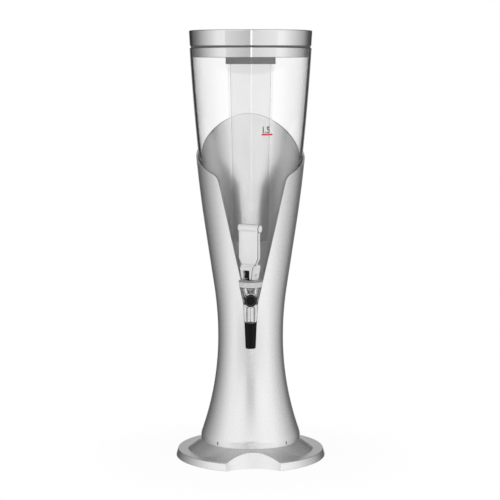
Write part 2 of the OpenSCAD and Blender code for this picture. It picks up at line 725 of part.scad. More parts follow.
module tap_body() color("aliceblue", 0.5) {
    narrow_z = valve_z + chamber_h;
    thread_bore = thread_r - neck_wall;
    neck_r = spout_bore + neck_wall;
    lip = 1;
    shoulder_t = 3;
    difference() {
        union() {
            at_tap() revolve([[0, spout_z - neck_h], [neck_r, spout_z - neck_h], [neck_r, spout_z],
                              [spout_low_r, spout_z], [spout_r, valve_z], [funnel_r, funnel_z - lip],
                              [funnel_r, funnel_z], [thread_r, funnel_z], [thread_r, thread_top],
                              [0, thread_top]], small_fn);
            translate([0, 0, tap_z]) {
                rod_y(boss_r, tap_reach, tap_reach + plug_reach - face_gap);
                rod_y(shank_r, shank_end_y, tap_reach);
                rod_y(collar_r, spot_y + gasket_t, spot_y + gasket_t + shoulder_t);
            }
        }
        at_tap() {
            translate([0, 0, spout_z - neck_h - cut]) rod(spout_bore, neck_h + spout_h + 2 * cut);
            revolve([[0, valve_z], [chamber_r, valve_z], [chamber_r, narrow_z],
                     [thread_bore, funnel_z - lip], [thread_bore, thread_top + cut],
                     [0, thread_top + cut]], small_fn);
        }
        translate([0, 0, tap_z]) {
            rod_y(shank_bore, shank_end_y - cut, tap_reach);
            rod_y(plug_r - plug_step + screw_gap, tap_reach, tap_reach + plug_reach);
            rod_y(plug_r + screw_gap, tap_reach + plug_reach - plug_t, tap_reach + plug_reach);
        }
    }
}

module shank_gasket() color("black") translate([0, 0, tap_z]) difference() {
    rod_y(collar_r, spot_y, spot_y + gasket_t);
    rod_y(shank_r + screw_gap, spot_y - cut, spot_y + gasket_t + cut);
}

module inner_washer() color("black") translate([0, 0, tap_z]) difference() {
    rod_y(nut_af / 2, pad_y - washer_t, pad_y);
    rod_y(shank_r + screw_gap, pad_y - washer_t - cut, pad_y + cut);
}

module shank_nut() color("white") translate([0, 0, tap_z]) {
    face = pad_y - washer_t - nut_t;
    difference() {
        translate([0, -face, 0]) rotate([90, 0, 0])
            cylinder(r = nut_af / 2 / cos(30), h = nut_t, $fn = 6);
        rod_y(shank_r + screw_gap, face - cut, face + nut_t + cut);
    }
}

module front_plug() color("black") translate([0, 0, tap_z]) {
    face = tap_reach + plug_reach;
    difference() {
        rod_y(plug_r, face - plug_t, face);
        rod_y(plug_r - plug_ring, face - plug_dish, face + cut);
    }
    rod_y(plug_r - plug_step, face - plug_t - plug_depth, face - plug_t);
}

module spout_nozzle() color("black") at_tap() {
    socket_r = spout_bore + neck_wall + screw_gap;
    socket_z = spout_z - neck_h;
    lip = 1.2;
    revolve(concat(
        [[nozzle_bore, nozzle_z]],
        corner([nozzle_bore, nozzle_z], [nozzle_tip_r, nozzle_z], [nozzle_r, spout_z], lip),
        [[nozzle_r, spout_z], [socket_r, spout_z], [socket_r, socket_z], [nozzle_bore, socket_z]]), small_fn);
}

module bonnet() color("whitesmoke", 0.7) at_tap() {
    edge = 0.8;
    difference() {
        revolve([[0, funnel_z], [bonnet_low_r, funnel_z], [bonnet_r, bonnet_z - edge],
                 [bonnet_r - edge, bonnet_z], [0, bonnet_z]], small_fn);
        translate([0, 0, funnel_z - cut]) rod(thread_r + run_gap, thread_top - funnel_z + cut);
        translate([0, 0, thread_top - cut]) rod(sleeve_r + run_gap, bonnet_t + 2 * cut);
    }
}

module valve_stem() color("white") at_tap() {
    low = valve_z + rod_end;
    top = head_z - face_gap;
    translate([0, 0, low]) rod(rod_r, top - low);
    translate([0, 0, button_z]) rod(button_r, top - button_z);
}

module seat_cup() color("dimgray") at_tap() difference() {
    revolve([[0, valve_z], [cup_r, valve_z], [cup_r, cup_z], [rod_r + cup_wall, cup_z],
             [rod_r + cup_wall, cup_z + cup_neck], [0, cup_z + cup_neck]], small_fn);
    translate([0, 0, valve_z + rod_end]) rod(rod_r + screw_gap, cup_t + cup_neck);
}

// Least distance between neighbouring turns of the spring.
coil_low = cup_z + wire_d / 2;
coil_high = thread_top - wire_d / 2;
coil_gap = (coil_high - coil_low) / coils - wire_d;
echo(spring_gap = coil_gap);
module return_spring() color("lightgray") at_tap() {
    per_turn = 8;
    sides = 6;
    n = coils * per_turn;
    rise = (coil_high - coil_low) / n;
    points = [for (i = [0:n], k = [0:sides - 1]) let (
        a = 360 * i / per_turn, b = 360 * k / sides,
        r = coil_r + wire_d / 2 * cos(b))
        [r * cos(a), r * sin(a), coil_low + rise * i + wire_d / 2 * sin(b)]];
    side_faces = [for (i = [0:n - 1], k = [0:sides - 1]) let (
        a = i * sides + k, b = i * sides + (k + 1) % sides)
        each [[a, b, b + sides], [a, b + sides, a + sides]]];
    low_end = [for (k = [1:sides - 2]) [0, k + 1, k]];
    high_end = [for (k = [1:sides - 2]) [n * sides, n * sides + k, n * sides + k + 1]];
    polyhedron(points, concat(side_faces, low_end, high_end));
}

// Black head between the lever's cheeks: a waisted block on a sleeve that turns and slides in the bonnet.
module stem_head() color("black") at_lever() {
    low = head_z - pin_z;
    top = fork_top - head_drop;
    waist = (low + top) / 2;
    depth = head_w - head_waist;
    side = head_w / 2;
    back = depth / 2;
    top_gap = 0.2;
    difference() {
        union() {
            translate([0, (back - head_front) / 2, 0]) front_prism(back + head_front) polygon([
                [-side, low], [side, low], [side - head_waist, waist],
                [side, top], [-side, top], [-side + head_waist, waist]]);
            translate([0, 0, sleeve_z - pin_z]) rod(sleeve_r, head_z - sleeve_z + 1);
        }
        translate([0, 0, sleeve_z - pin_z - cut]) rod(rod_r + run_gap, button_z - sleeve_z + 2 * cut);
        translate([0, 0, button_z - pin_z - top_gap]) rod(button_r + run_gap, head_z - button_z);
        rod_x(pin_r + screw_gap / 2, head_w + 2);
    }
}

// Half the width of the fork at a height from the pin.
function fork_half(z) = (fork_low_w + (fork_w - fork_low_w) * (z + heel) / (fork_top + heel)) / 2;

module lever_pin() color("gainsboro") at_lever() rod_x(pin_r, 2 * (fork_half(0) - face_gap));

// Side view of the fork and spine. The heel's curve lifts the pin in step with the lever's tilt.
function cam_point(a) = let (p = heel + cam_rate * a * PI / 180)
    [-p * sin(a) - cam_rate * cos(a), -p * cos(a) + cam_rate * sin(a)];
module lever_side() {
    front = cam_point(lever_travel);
    toe = 0.3;
    edge = 2;
    spine = [-paddle_fore - paddle_t / 2, -paddle_fore + paddle_t / 2];
    polygon(concat(
        [for (a = steps(0, lever_travel, 5)) cam_point(a)],
        [front + [-toe, toe], [front[0] - toe, fork_top - edge], [front[0] - toe + edge, fork_top],
         [spine[0], fork_top + edge], [spine[0], roll_rise], [spine[1], roll_rise],
         [spine[1], fork_top + edge], [fork_back - edge / 2, fork_top], [fork_back, fork_top - edge]],
        corner([fork_back, fork_top], [fork_back - fork_lean, -heel], [0, -heel], 1.5 * edge)));
}

module lever() color("aliceblue", 0.5) at_lever() {
    cheek_room = head_w + 2 * cheek_gap;
    slot_r = norm([head_front, fork_top - head_drop]) + face_gap;
    mark_deep = 0.3;
    difference() {
        union() {
            intersection() {
                rotate([0, 0, 90]) translate([0, fork_w / 2, 0]) rotate([90, 0, 0])
                    linear_extrude(fork_w) lever_side();
                front_prism(2 * fork_w) polygon([
                    [-fork_half(-heel - cut), -heel - cut], [fork_half(-heel - cut), -heel - cut],
                    [fork_w / 2, fork_top], [fork_w / 2, roll_rise + cut], [-fork_w / 2, roll_rise + cut],
                    [-fork_w / 2, fork_top]]);
            }
            translate([0, -paddle_fore, 0]) front_prism(paddle_t) polygon([
                [-fork_w / 2, fork_top], [fork_w / 2, fork_top], [paddle_w / 2, paddle_low],
                [paddle_w / 2, roll_rise], [-paddle_w / 2, roll_rise], [-paddle_w / 2, paddle_low]]);
            translate([0, -roll_fore, roll_rise]) rod_x(roll_r, roll_len);
        }
        translate([-cheek_room / 2, -fork_w, -heel - cut]) cube([cheek_room, 2 * fork_w, heel + cut]);
        translate([-cheek_room / 2, -fork_w, -cut]) cube([cheek_room, fork_w, window_h + cut]);
        rod_x(slot_r, cheek_room);
        rod_x(pin_r + run_gap, fork_w + 2);
        for (m = [[2, roll_rise - 10], [-4, paddle_low - 3]])
            translate([m[0], -paddle_fore - paddle_t / 2 + mark_deep, m[1]])
                rotate([90, 0, 0]) rod(mark_r, mark_deep + cut);
    }
}

column_shell();
base_foot();
base_cover();
for (i = [1:4]) column_screw(i);
for (i = [1:4]) cover_screw(i);
for (i = [1:4]) rubber_foot(i);
beer_vessel();
tap_body();
shank_gasket();
inner_washer();
shank_nut();
front_plug();
spout_nozzle();
bonnet();
valve_stem();
seat_cup();
return_spring();
stem_head();
lever_pin();
lever();
lid_cap();
lid_plug();
lid_seal();
tube_collar();
ice_tube();
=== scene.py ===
"""Table-top beer tower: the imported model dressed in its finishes, on a pale floor in soft studio light.

Metres, +Z up from the table, the tap towards -Y. Every piece rides on the body that carries it.
"""

from math import acos, asin, atan, atan2, ceil, cos, hypot, pi, radians, sin, sqrt, tan

import bpy
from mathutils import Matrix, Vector


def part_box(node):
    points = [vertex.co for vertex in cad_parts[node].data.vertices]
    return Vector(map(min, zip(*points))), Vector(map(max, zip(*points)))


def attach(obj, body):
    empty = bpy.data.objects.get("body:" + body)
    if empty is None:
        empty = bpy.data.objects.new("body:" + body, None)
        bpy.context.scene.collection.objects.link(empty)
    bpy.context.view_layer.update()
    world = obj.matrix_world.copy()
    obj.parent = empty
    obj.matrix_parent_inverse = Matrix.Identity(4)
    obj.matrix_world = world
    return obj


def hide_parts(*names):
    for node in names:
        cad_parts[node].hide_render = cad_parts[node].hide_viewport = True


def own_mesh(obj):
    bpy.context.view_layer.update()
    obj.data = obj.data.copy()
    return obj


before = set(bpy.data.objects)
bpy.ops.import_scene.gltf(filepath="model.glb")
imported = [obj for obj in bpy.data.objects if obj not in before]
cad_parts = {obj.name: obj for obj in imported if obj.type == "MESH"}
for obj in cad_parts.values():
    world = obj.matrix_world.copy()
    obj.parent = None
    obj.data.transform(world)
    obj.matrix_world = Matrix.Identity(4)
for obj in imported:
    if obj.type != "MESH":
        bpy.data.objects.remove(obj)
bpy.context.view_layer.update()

# ---- sizes ----

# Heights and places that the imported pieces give
SHELF_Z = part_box("column_shell")[0].z
RIM_BACK_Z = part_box("column_shell")[1].z
BASE_LOW_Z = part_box("base_foot")[0].z
BASE_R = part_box("base_foot")[1].x
SEAT_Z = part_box("beer_vessel")[0].z
VESSEL_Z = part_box("beer_vessel")[1].z
LID_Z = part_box("lid_cap")[0].z
LID_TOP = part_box("lid_cap")[1].z
LID_TOP_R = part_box("lid_cap")[1].x
PLUG_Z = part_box("lid_plug")[0].z
TAP_Y = (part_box("spout_nozzle")[0].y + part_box("spout_nozzle")[1].y) / 2
TAP_Z = (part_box("front_plug")[0].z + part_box("front_plug")[1].z) / 2
PIN_Z = (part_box("lever_pin")[0].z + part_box("lever_pin")[1].z) / 2

# The column's outline
SKIRT_R = 0.0596
WAIST_R = 0.039
WAIST_Z = SHELF_Z + 0.127
FLARE_CURVE = 0.350
WAIST_CURVE = 0.400
COLUMN_SLOPE = 0.15
BULGE_CURVE = 1.290
COLUMN_WALL = 0.0025
STAND_TURN = radians(2.2)
STRAIGHT_Z = WAIST_Z + 0.138
FOLLOW_Z = WAIST_Z + 0.203
SKIRT_Z = WAIST_Z - sqrt(FLARE_CURVE**2 - (FLARE_CURVE - SKIRT_R + WAIST_R) ** 2)
ARC_END_Z = WAIST_Z + WAIST_CURVE * sin(atan(COLUMN_SLOPE))

# The column's ledge for the vessel, and its lock slots
LEDGE_R = 0.028
LEDGE_Z = SEAT_Z - 0.00001
LEDGE_T = 0.004
SLOT_W = 0.0015
SLOT_H = 0.004
SLOT_REACH = 0.02
SLOT_Z = 0.0225
SLOT_AZ = radians(43)

# The column's rim, and the finer and coarser steps in which it is drawn
SHOULDER_Z = WAIST_Z + 0.196
SIDE_Z = WAIST_Z + 0.214
SHOULDER_AZ = radians(45.5)
SIDE_CLIMB = 0.42 * 0.001 / radians(1)
V_HALF = radians(12.7)
V_BOTTOM_R = 0.0086
V_SHOULDER_R = 0.012
V_STEPS = 30
V_STEPS_KEPT = 27
CORNER_STEPS = 14
RIM_STEP = radians(2.5)
COLUMN_ROWS = 90
RIM_SOFT = 0.0011
RIM_SOFT_ANGLE = 50

# The vessel's outline
VESSEL_WALL = 0.003
VESSEL_FLOOR = 0.0025
VESSEL_SLOPE = 0.108
VESSEL_CURVE = 2.800
VESSEL_ROUND = 0.003
VESSEL_INNER_ROUND = 0.002
VESSEL_LIP = 0.0008
VESSEL_STEP = 0.004
SEAT_GAP = 0.0004

# The base's outline
BAND_LEAN = 0.0024
BASE_TOP_R = BASE_R - BAND_LEAN
RIM_Z = BASE_LOW_Z + 0.0086
CONE_R = 0.076
CONE_Z = RIM_Z + 0.0116
SEAT_R = SKIRT_R + 0.0004
BASE_WALL = 0.0025
BASE_ROOF = 0.003
BASE_SOFT = 0.0007
BASE_SOFT_ANGLE = 38
NOTCH_C = 0.121
NOTCH_R = 0.048
NOTCH_LEAN = 0.387
FRONT_CONE_C = 0.024
FRONT_CONE_INSET = 0.0002
FRONT_CONE_R = BASE_TOP_R - FRONT_CONE_INSET - FRONT_CONE_C
FRONT_CONE_LEAN = 2.38

# The lid
LID_LEAN = 0.0011
LID_R = LID_TOP_R - LID_LEAN
LID_WALL = 0.002
LID_IN_R = LID_R - LID_WALL
LID_ROUND = 0.0014
LID_DISH = 0.0008
LID_EDGE = 0.004
ROOF_Z = LID_TOP - LID_WALL - LID_DISH
PLUG_GAP = 0.0006
PLUG_WALL = 0.0024
GROOVE = 0.0024
FLANGE = 0.003
FLANGE_GAP = 0.0001
SEAL_W = 0.0046
SEAL_GAP = 0.00005

# The tap's way through the vessel
SHANK_R = 0.005
SPOT_R = 0.0068
SPOT_DEPTH = 0.0012
PAD_R = 0.009
PAD_DEPTH = 0.0014

# The lever: its fork straddles the black head, its paddle and roll stand a little forward
LEVER_TURN = radians(-33)
HEEL = 0.00592
# How far the lever tilts, and how far the valve then has risen
LEVER_LIMIT = radians(45)
VALVE_LIFT = 0.003
CAM_RATE = VALVE_LIFT / LEVER_LIMIT
FORK_W, FORK_LOW_W = 0.018, 0.013
FORK_BACK, FORK_LEAN, FORK_TOP = 0.008, 0.0012, 0.011
FORK_CORNER, HEEL_ROUND, TOE_STEP = 0.002, 0.003, 0.0003
HEAD_ROOM, HEAD_SWEEP, WINDOW_H = 0.0085, 0.009, 0.0062
# How far the head's sweep is let into each cheek of the fork
SWEEP_STEP = 0.00015
PADDLE_W, PADDLE_T, PADDLE_LOW, PADDLE_FORE = 0.0265, 0.005, 0.020, 0.0026
ROLL_Z, ROLL_R, ROLL_LEN, ROLL_FORE = 0.054, 0.0048, 0.028, 0.0016
PIN_R = 0.0016
LEVER_SOFT, PADDLE_SOFT = 0.0005, 0.0006
PADDLE_SOFT_ANGLE = 35
# The lever's cutters reach this far to each side of the pin, in depth and in width
CUTTER_REACH = 0.02

# The fill mark
MARK_Z = 0.3905
MARK_X = (0.0125, 0.0250)
MARK_LINE = 0.0020
MARK_LIFT = 0.00012
MARK_T = 0.0001
NUMERAL_SIZE = 0.0072 * 1.4
NUMERAL_WEIGHT = 0.0002
NUMERAL_NARROW = 0.80
NUMERAL_INSET = 0.0014

LATHE_STEPS = 160
# Points that are nearer than these become one, on the scene's own pieces and on copies
WELD = 1e-6
COPY_WELD = 2e-6
# Edges that turn by more than these degrees stay sharp
COPY_ANGLE = 30
LEVER_ANGLE = 32
TURNED_ANGLE = 40


# ---- outlines ----


def column_curve(z):
    """Outer radius of the column below the height where it starts to follow the vessel."""
    if z <= SKIRT_Z:
        return SKIRT_R
    if z <= WAIST_Z:
        return WAIST_R + FLARE_CURVE - sqrt(FLARE_CURVE**2 - (z - WAIST_Z) ** 2)
    if z <= ARC_END_Z:
        return WAIST_R + WAIST_CURVE - sqrt(WAIST_CURVE**2 - (z - WAIST_Z) ** 2)
    if z <= STRAIGHT_Z:
        return column_curve(ARC_END_Z) + COLUMN_SLOPE * (z - ARC_END_Z)
    rise = z - STRAIGHT_Z
    return column_curve(STRAIGHT_Z) + COLUMN_SLOPE * rise - rise**2 / (2 * BULGE_CURVE)


def vessel_r(z):
    """Outer radius of the vessel."""
    if z <= FOLLOW_Z:
        return column_curve(z) - COLUMN_WALL - SEAT_GAP
    rise = z - FOLLOW_Z
    return vessel_r(FOLLOW_Z) + VESSEL_SLOPE * rise - rise**2 / (2 * VESSEL_CURVE)


def column_r(z):
    """Outer radius of the column."""
    return column_curve(z) if z <= FOLLOW_Z else vessel_r(z) + SEAT_GAP + COLUMN_WALL


def steps(a, b, step):
    """Even steps from a to b, at most step apart."""
    n = max(1, ceil(abs(b - a) / step - 1e-9))
    return [a + (b - a) * i / n for i in range(n + 1)]


def arc(c, r, a0, a1, n):
    """Points of an arc about c, from angle a0 to a1 in radians."""
    angles = [a0 + (a1 - a0) * i / n for i in range(n + 1)]
    return [(c[0] + r * cos(a), c[1] + r * sin(a)) for a in angles]


def rounded(a, c, b, r, n=5):
    """The corner at c between the lines to a and b, rounded to radius r."""
    a, b, c = Vector(a), Vector(b), Vector(c)
    u, v = (a - c).normalized(), (b - c).normalized()
    half = acos(max(-1, min(1, u.dot(v)))) / 2
    m = c + (u + v).normalized() * r / sin(half)
    p, q = c + u * r / tan(half) - m, c + v * r / tan(half) - m
    a0 = atan2(p.y, p.x)
    turn = atan2(q.y, q.x) - a0
    if turn > pi:
        turn -= 2 * pi
    elif turn < -pi:
        turn += 2 * pi
    return arc((m.x, m.y), r, a0, a0 + turn, n)


def round_outline(points, radii):
    """A closed outline with its corners rounded: one radius for each point, 0 for a sharp one."""
    out = []
    for i, (p, r) in enumerate(zip(points, radii)):
        out += rounded(points[i - 1], p, points[(i + 1) % len(points)], r) if r else [p]
    return out


# ---- modelling ----


def deselect():
    """Leaves nothing selected."""
    bpy.ops.object.select_all(action="DESELECT")


def choose(obj):
    """Selects one piece alone and makes it the active one."""
    deselect()
    bpy.context.view_layer.objects.active = obj
    obj.select_set(True)


def added(name):
    """The piece that an operator has just added, under its name."""
    obj = bpy.context.object
    obj.name = name
    return obj


def edit(obj, pick="SELECT"):
    """Opens a piece for editing with all or none of it selected."""
    choose(obj)
    bpy.ops.object.mode_set(mode="EDIT")
    bpy.ops.mesh.select_all(action=pick)


def leave():
    """Closes the piece that is open for editing."""
    bpy.ops.object.mode_set(mode="OBJECT")


def settle(obj):
    """Puts a piece's place into its mesh."""
    choose(obj)
    bpy.ops.object.transform_apply(location=True, rotation=True, scale=True)


def smooth(obj, angle):
    """Shades a piece smooth, but for edges that turn by more than the angle."""
    choose(obj)
    bpy.ops.object.shade_smooth_by_angle(angle=radians(angle), keep_sharp_edges=False)
    with_modifier(obj, "WEIGHTED_NORMAL", keep_sharp=True, weight=60)


def with_modifier(obj, kind, **settings):
    """Adds a modifier, sets it and applies it."""
    choose(obj)
    m = obj.modifiers.new(kind.lower(), kind)
    for key, value in settings.items():
        setattr(m, key, value)
    bpy.ops.object.modifier_apply(modifier=m.name)


def soften(obj, width, angle, finish=-1):
    """Rounds the piece's sharp edges, in the finish of that slot if one is named."""
    with_modifier(obj, "BEVEL", width=width, segments=3, limit_method="ANGLE",
                  angle_limit=radians(angle), use_clamp_overlap=True, material=finish)


def combine(obj, other, operation):
    """Joins a piece with another, cuts it or keeps what they share, and takes the other away."""
    with_modifier(obj, "BOOLEAN", operation=operation, solver="EXACT", object=other)
    bpy.data.objects.remove(other)


def joined(obj, other):
    """Makes the other piece part of this one."""
    combine(obj, other, "UNION")


def cut_away(obj, cutter):
    """Takes the cutter out of the piece, and the cutter away."""
    combine(obj, cutter, "DIFFERENCE")


def lone_vertex(name, place):
    """A mesh of one selected vertex: a plane's first corner, with the others deleted."""
    deselect()
    bpy.ops.mesh.primitive_plane_add(size=0.001, location=(0, 0, 0))
    obj = added(name)
    edit(obj, "DESELECT")
    bpy.ops.mesh.select_mode(type="VERT")
    leave()
    for v in obj.data.vertices:
        v.select = v.index > 0
    bpy.ops.object.mode_set(mode="EDIT")
    bpy.ops.mesh.delete(type="VERT")
    leave()
    obj.data.vertices[0].co = place
    obj.data.vertices[0].select = True
    return obj


def turned(name, outline, closed=True, centre=(0, 0)):
    """A piece turned on a lathe: its outline, as (radius, height) points, spun round an upright axis."""
    here = outline[0]
    obj = lone_vertex(name, (centre[0] + here[0], centre[1], here[1]))
    bpy.ops.object.mode_set(mode="EDIT")
    path = list(outline[1:]) + ([here] if closed else [])
    for p in path:
        step = (p[0] - here[0], 0, p[1] - here[1])
        bpy.ops.mesh.extrude_region_move(TRANSFORM_OT_translate={"value": step})
        here = p
    bpy.ops.mesh.select_all(action="SELECT")
    bpy.ops.mesh.remove_doubles(threshold=WELD)
    bpy.ops.mesh.spin(steps=LATHE_STEPS, angle=2 * pi, center=(centre[0], centre[1], 0), axis=(0, 0, 1))
    bpy.ops.mesh.select_all(action="SELECT")
    bpy.ops.mesh.remove_doubles(threshold=WELD)
    bpy.ops.mesh.normals_make_consistent(inside=False)
    leave()
    return obj


def rod_to_front(name, r, y0, y1):
    """A rod towards the front at the tap's height, between two distances from the middle."""
    deselect()
    bpy.ops.mesh.primitive_cylinder_add(vertices=64, radius=r, depth=y1 - y0,
                                        location=(0, -(y0 + y1) / 2, TAP_Z), rotation=(pi / 2, 0, 0))
    return added(name)


def copied(node, name, width=0, edge=None):
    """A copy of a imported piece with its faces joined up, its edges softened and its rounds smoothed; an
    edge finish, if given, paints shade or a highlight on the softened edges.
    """
    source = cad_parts[node]
    obj = bpy.data.objects.new(name, source.data.copy())
    obj.data.materials.clear()
    if edge:
        obj.data.materials.append(edge)
        obj.data.materials.append(edge)
    bpy.context.scene.collection.objects.link(obj)
    edit(obj)
    bpy.ops.mesh.remove_doubles(threshold=COPY_WELD)
    bpy.ops.mesh.dissolve_limited(angle_limit=radians(0.5))
    leave()
    if width:
        soften(obj, width, COPY_ANGLE, finish=1 if edge else -1)
    smooth(obj, COPY_ANGLE)
    return obj


def finish_piece(obj, material, body, slot, *nodes):
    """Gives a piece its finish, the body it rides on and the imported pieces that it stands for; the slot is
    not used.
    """
    if obj.data.materials:
        obj.data.materials[0] = material
    else:
        obj.data.materials.append(material)
    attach(obj, body)
    if nodes:
        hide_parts(*nodes)


# ---- nodes ----


def ramp_of(tree, source, points):
    """A curve through (position 0 to 1, value) points, read off at the source's value."""
    ramp = tree.nodes.new("ShaderNodeValToRGB")
    stops = ramp.color_ramp.elements
    while len(stops) < len(points):
        stops.new(0.5)
    for stop, (place, value) in zip(stops, points):
        stop.position = place
        stop.color = (value, value, value, 1)
    tree.links.new(source, ramp.inputs["Fac"])
    return ramp.outputs["Color"]


def math_of(tree, operation, a, b=None):
    """A Math node on two inputs, each an output of another node or a number."""
    node = tree.nodes.new("ShaderNodeMath")
    node.operation = operation
    for slot, value in zip(node.inputs, (a, b)):
        if isinstance(value, (int, float)):
            slot.default_value = value
        elif value is not None:
            tree.links.new(value, slot)
    return node.outputs[0]


def mix_of(tree, share, a, b):
    """A mix of two greys, each an output of another node or a number."""
    rest = math_of(tree, "SUBTRACT", 1.0, share)
    first = math_of(tree, "MULTIPLY", a, rest)
    second = math_of(tree, "MULTIPLY", b, share)
    return math_of(tree, "ADD", first, second)


def noise_of(tree, scale, detail):
    """Noise through the piece, in the piece's own coordinates."""
    place = tree.nodes.new("ShaderNodeTexCoord")
    noise = tree.nodes.new("ShaderNodeTexNoise")
    noise.inputs["Scale"].default_value = scale
    noise.inputs["Detail"].default_value = detail
    tree.links.new(place.outputs["Object"], noise.inputs["Vector"])
    return noise.outputs["Fac"]


def mix_shaders(tree, share, a, b):
    """A mix of two shaders, the second by the share."""
    node = tree.nodes.new("ShaderNodeMixShader")
    for slot, value in zip(node.inputs, (share, a, b)):
        tree.links.new(value, slot)
    return node.outputs[0]


# ---- finishes ----


def new_finish(name, colour, roughness, metallic=0.0, **sockets):
    """A plain finish, its colour as (red, green, blue) or as one number for a grey."""
    m = bpy.data.materials.new(name)
    m.use_nodes = True
    shader = m.node_tree.nodes["Principled BSDF"]
    rgb = colour if isinstance(colour, tuple) else (colour, colour, colour)
    shader.inputs["Base Color"].default_value = (*rgb, 1)
    shader.inputs["Roughness"].default_value = roughness
    shader.inputs["Metallic"].default_value = metallic
    for key, value in sockets.items():
        shader.inputs[key.replace("_", " ")].default_value = value
    return m


def grain(m, scale, bump, spread=0.0):
    """Fine noise in a finish: a bump of that height, and roughness that varies by spread."""
    nodes, links = m.node_tree.nodes, m.node_tree.links
    shader = nodes["Principled BSDF"]
    noise = noise_of(m.node_tree, scale, 2.0)
    relief = nodes.new("ShaderNodeBump")
    relief.inputs["Strength"].default_value = 1.0
    relief.inputs["Distance"].default_value = bump
    links.new(noise, relief.inputs["Height"])
    links.new(relief.outputs["Normal"], shader.inputs["Normal"])
    if spread:
        base = shader.inputs["Roughness"].default_value
        band = nodes.new("ShaderNodeMapRange")
        band.inputs["To Min"].default_value = base - spread
        band.inputs["To Max"].default_value = base + spread
        links.new(noise, band.inputs["Value"])
        links.new(band.outputs["Result"], shader.inputs["Roughness"])
    return m


def painted_rim_shade(m, points):
    """Darkens a clear finish's colour towards the piece's outline as painted shade, by (facing, share of
    colour) points.
    """
    nodes, links = m.node_tree.nodes, m.node_tree.links
    shader = nodes["Principled BSDF"]
    tone = shader.inputs["Base Color"].links[0].from_socket
    weight = nodes.new("ShaderNodeLayerWeight")
    weight.inputs["Blend"].default_value = 0.5
    product = nodes.new("ShaderNodeMix")
    product.data_type = "RGBA"
    product.blend_type = "MULTIPLY"
    product.inputs["Factor"].default_value = 1.0
    links.new(tone, product.inputs["A"])
    links.new(ramp_of(m.node_tree, weight.outputs["Facing"], points), product.inputs["B"])
    links.new(product.outputs["Result"], shader.inputs["Base Color"])
    return m


def mottle(m, scale, dark, light):
    """Slow variation of a finish's colour between two greys."""
    nodes, links = m.node_tree.nodes, m.node_tree.links
    tones = nodes.new("ShaderNodeMix")
    tones.data_type = "RGBA"
    tones.inputs["A"].default_value = (dark, dark, dark, 1)
    tones.inputs["B"].default_value = (light, light, light, 1)
    links.new(noise_of(m.node_tree, scale, 3.0), tones.inputs["Factor"])
    links.new(tones.outputs["Result"], nodes["Principled BSDF"].inputs["Base Color"])
    return m


silver_lacquer = grain(
    mottle(new_finish("silver_lacquer", 0.86, 0.28, 0.92), 900, 0.84, 0.88), 1400, 0.00002, 0.03)
# painted shade: a near-black finish for the inner half of the column's rounded rim, the dark line of the gap
# to the vessel
painted_gap_shade = grain(new_finish("painted_gap_shade", 0.05, 0.40), 900, 0.000004, 0.03)
bright_plating = grain(new_finish("bright_plating", 0.86, 0.06, 1.0), 300, 0.000002, 0.015)
# The vessel, tap moulding and lever get painted shade: their colour darkens towards the outline
clear_plastic = painted_rim_shade(
    mottle(new_finish("clear_plastic", 1.0, 0.0, Transmission_Weight=1.0, IOR=1.49), 12, 0.985, 1.0),
    [(0.0, 1.0), (0.55, 1.0), (0.75, 0.93), (0.88, 0.70), (0.97, 0.15), (1.0, 0.05)])
clear_moulding = painted_rim_shade(
    mottle(new_finish("clear_moulding", 0.97, 0.03, Transmission_Weight=1.0, IOR=1.49), 60, 0.96, 0.98),
    [(0.0, 1.0), (0.30, 1.0), (0.48, 0.50), (0.62, 0.12), (1.0, 0.03)])
lever_plastic = painted_rim_shade(
    mottle(new_finish("lever_plastic", 0.99, 0.16, Transmission_Weight=0.40, IOR=1.45), 80, 0.98, 1.0),
    [(0.0, 1.0), (0.55, 1.0), (0.72, 0.45), (1.0, 0.10)])
frosted_plastic = mottle(
    new_finish("frosted_plastic", 0.95, 0.20, Transmission_Weight=0.975, IOR=1.01), 40, 0.905, 0.935)
milky_plastic = grain(
    new_finish("milky_plastic", 0.88, 0.40, Transmission_Weight=0.45, IOR=1.45), 400, 0.00003)
# painted shade: a darker clear finish for the rounded edges of the clear tap, bonnet and lever, their dark
# outlines
painted_clear_edge_shade = grain(
    new_finish("painted_clear_edge_shade", 0.12, 0.20, Transmission_Weight=0.30, IOR=1.45), 500, 0.000002)
grey_plastic = grain(new_finish("grey_plastic", (0.30, 0.30, 0.31), 0.45), 600, 0.00004, 0.05)
white_plastic = grain(new_finish("white_plastic", 0.85, 0.40), 600, 0.00003, 0.05)
black_plastic = grain(
    new_finish("black_plastic", 0.002, 0.10, Specular_IOR_Level=0.14), 500, 0.000004, 0.03)
# painted highlight: a lighter black for the rounded edges of the front plug and nozzle, thin light rings
painted_black_edge_highlight = grain(new_finish("painted_black_edge_highlight", 0.06, 0.30), 500, 0.000004, 0.04)
black_rubber = grain(new_finish("black_rubber", 0.02, 0.6), 800, 0.00006, 0.08)
grey_rubber = grain(new_finish("grey_rubber", 0.10, 0.5), 800, 0.00004, 0.08)
bright_steel = grain(new_finish("bright_steel", 0.70, 0.25, 1.0), 700, 0.00001, 0.05)
red_ink = grain(new_finish("red_ink", (0.55, 0.02, 0.03), 0.5), 900, 0.00001, 0.05)
dark_ink = grain(new_finish("dark_ink", 0.05, 0.5), 900, 0.00001, 0.05)


# ---- stand ----


def mid_r(z):
    """Radius of the middle of the column's wall."""
    return column_r(z) - COLUMN_WALL / 2


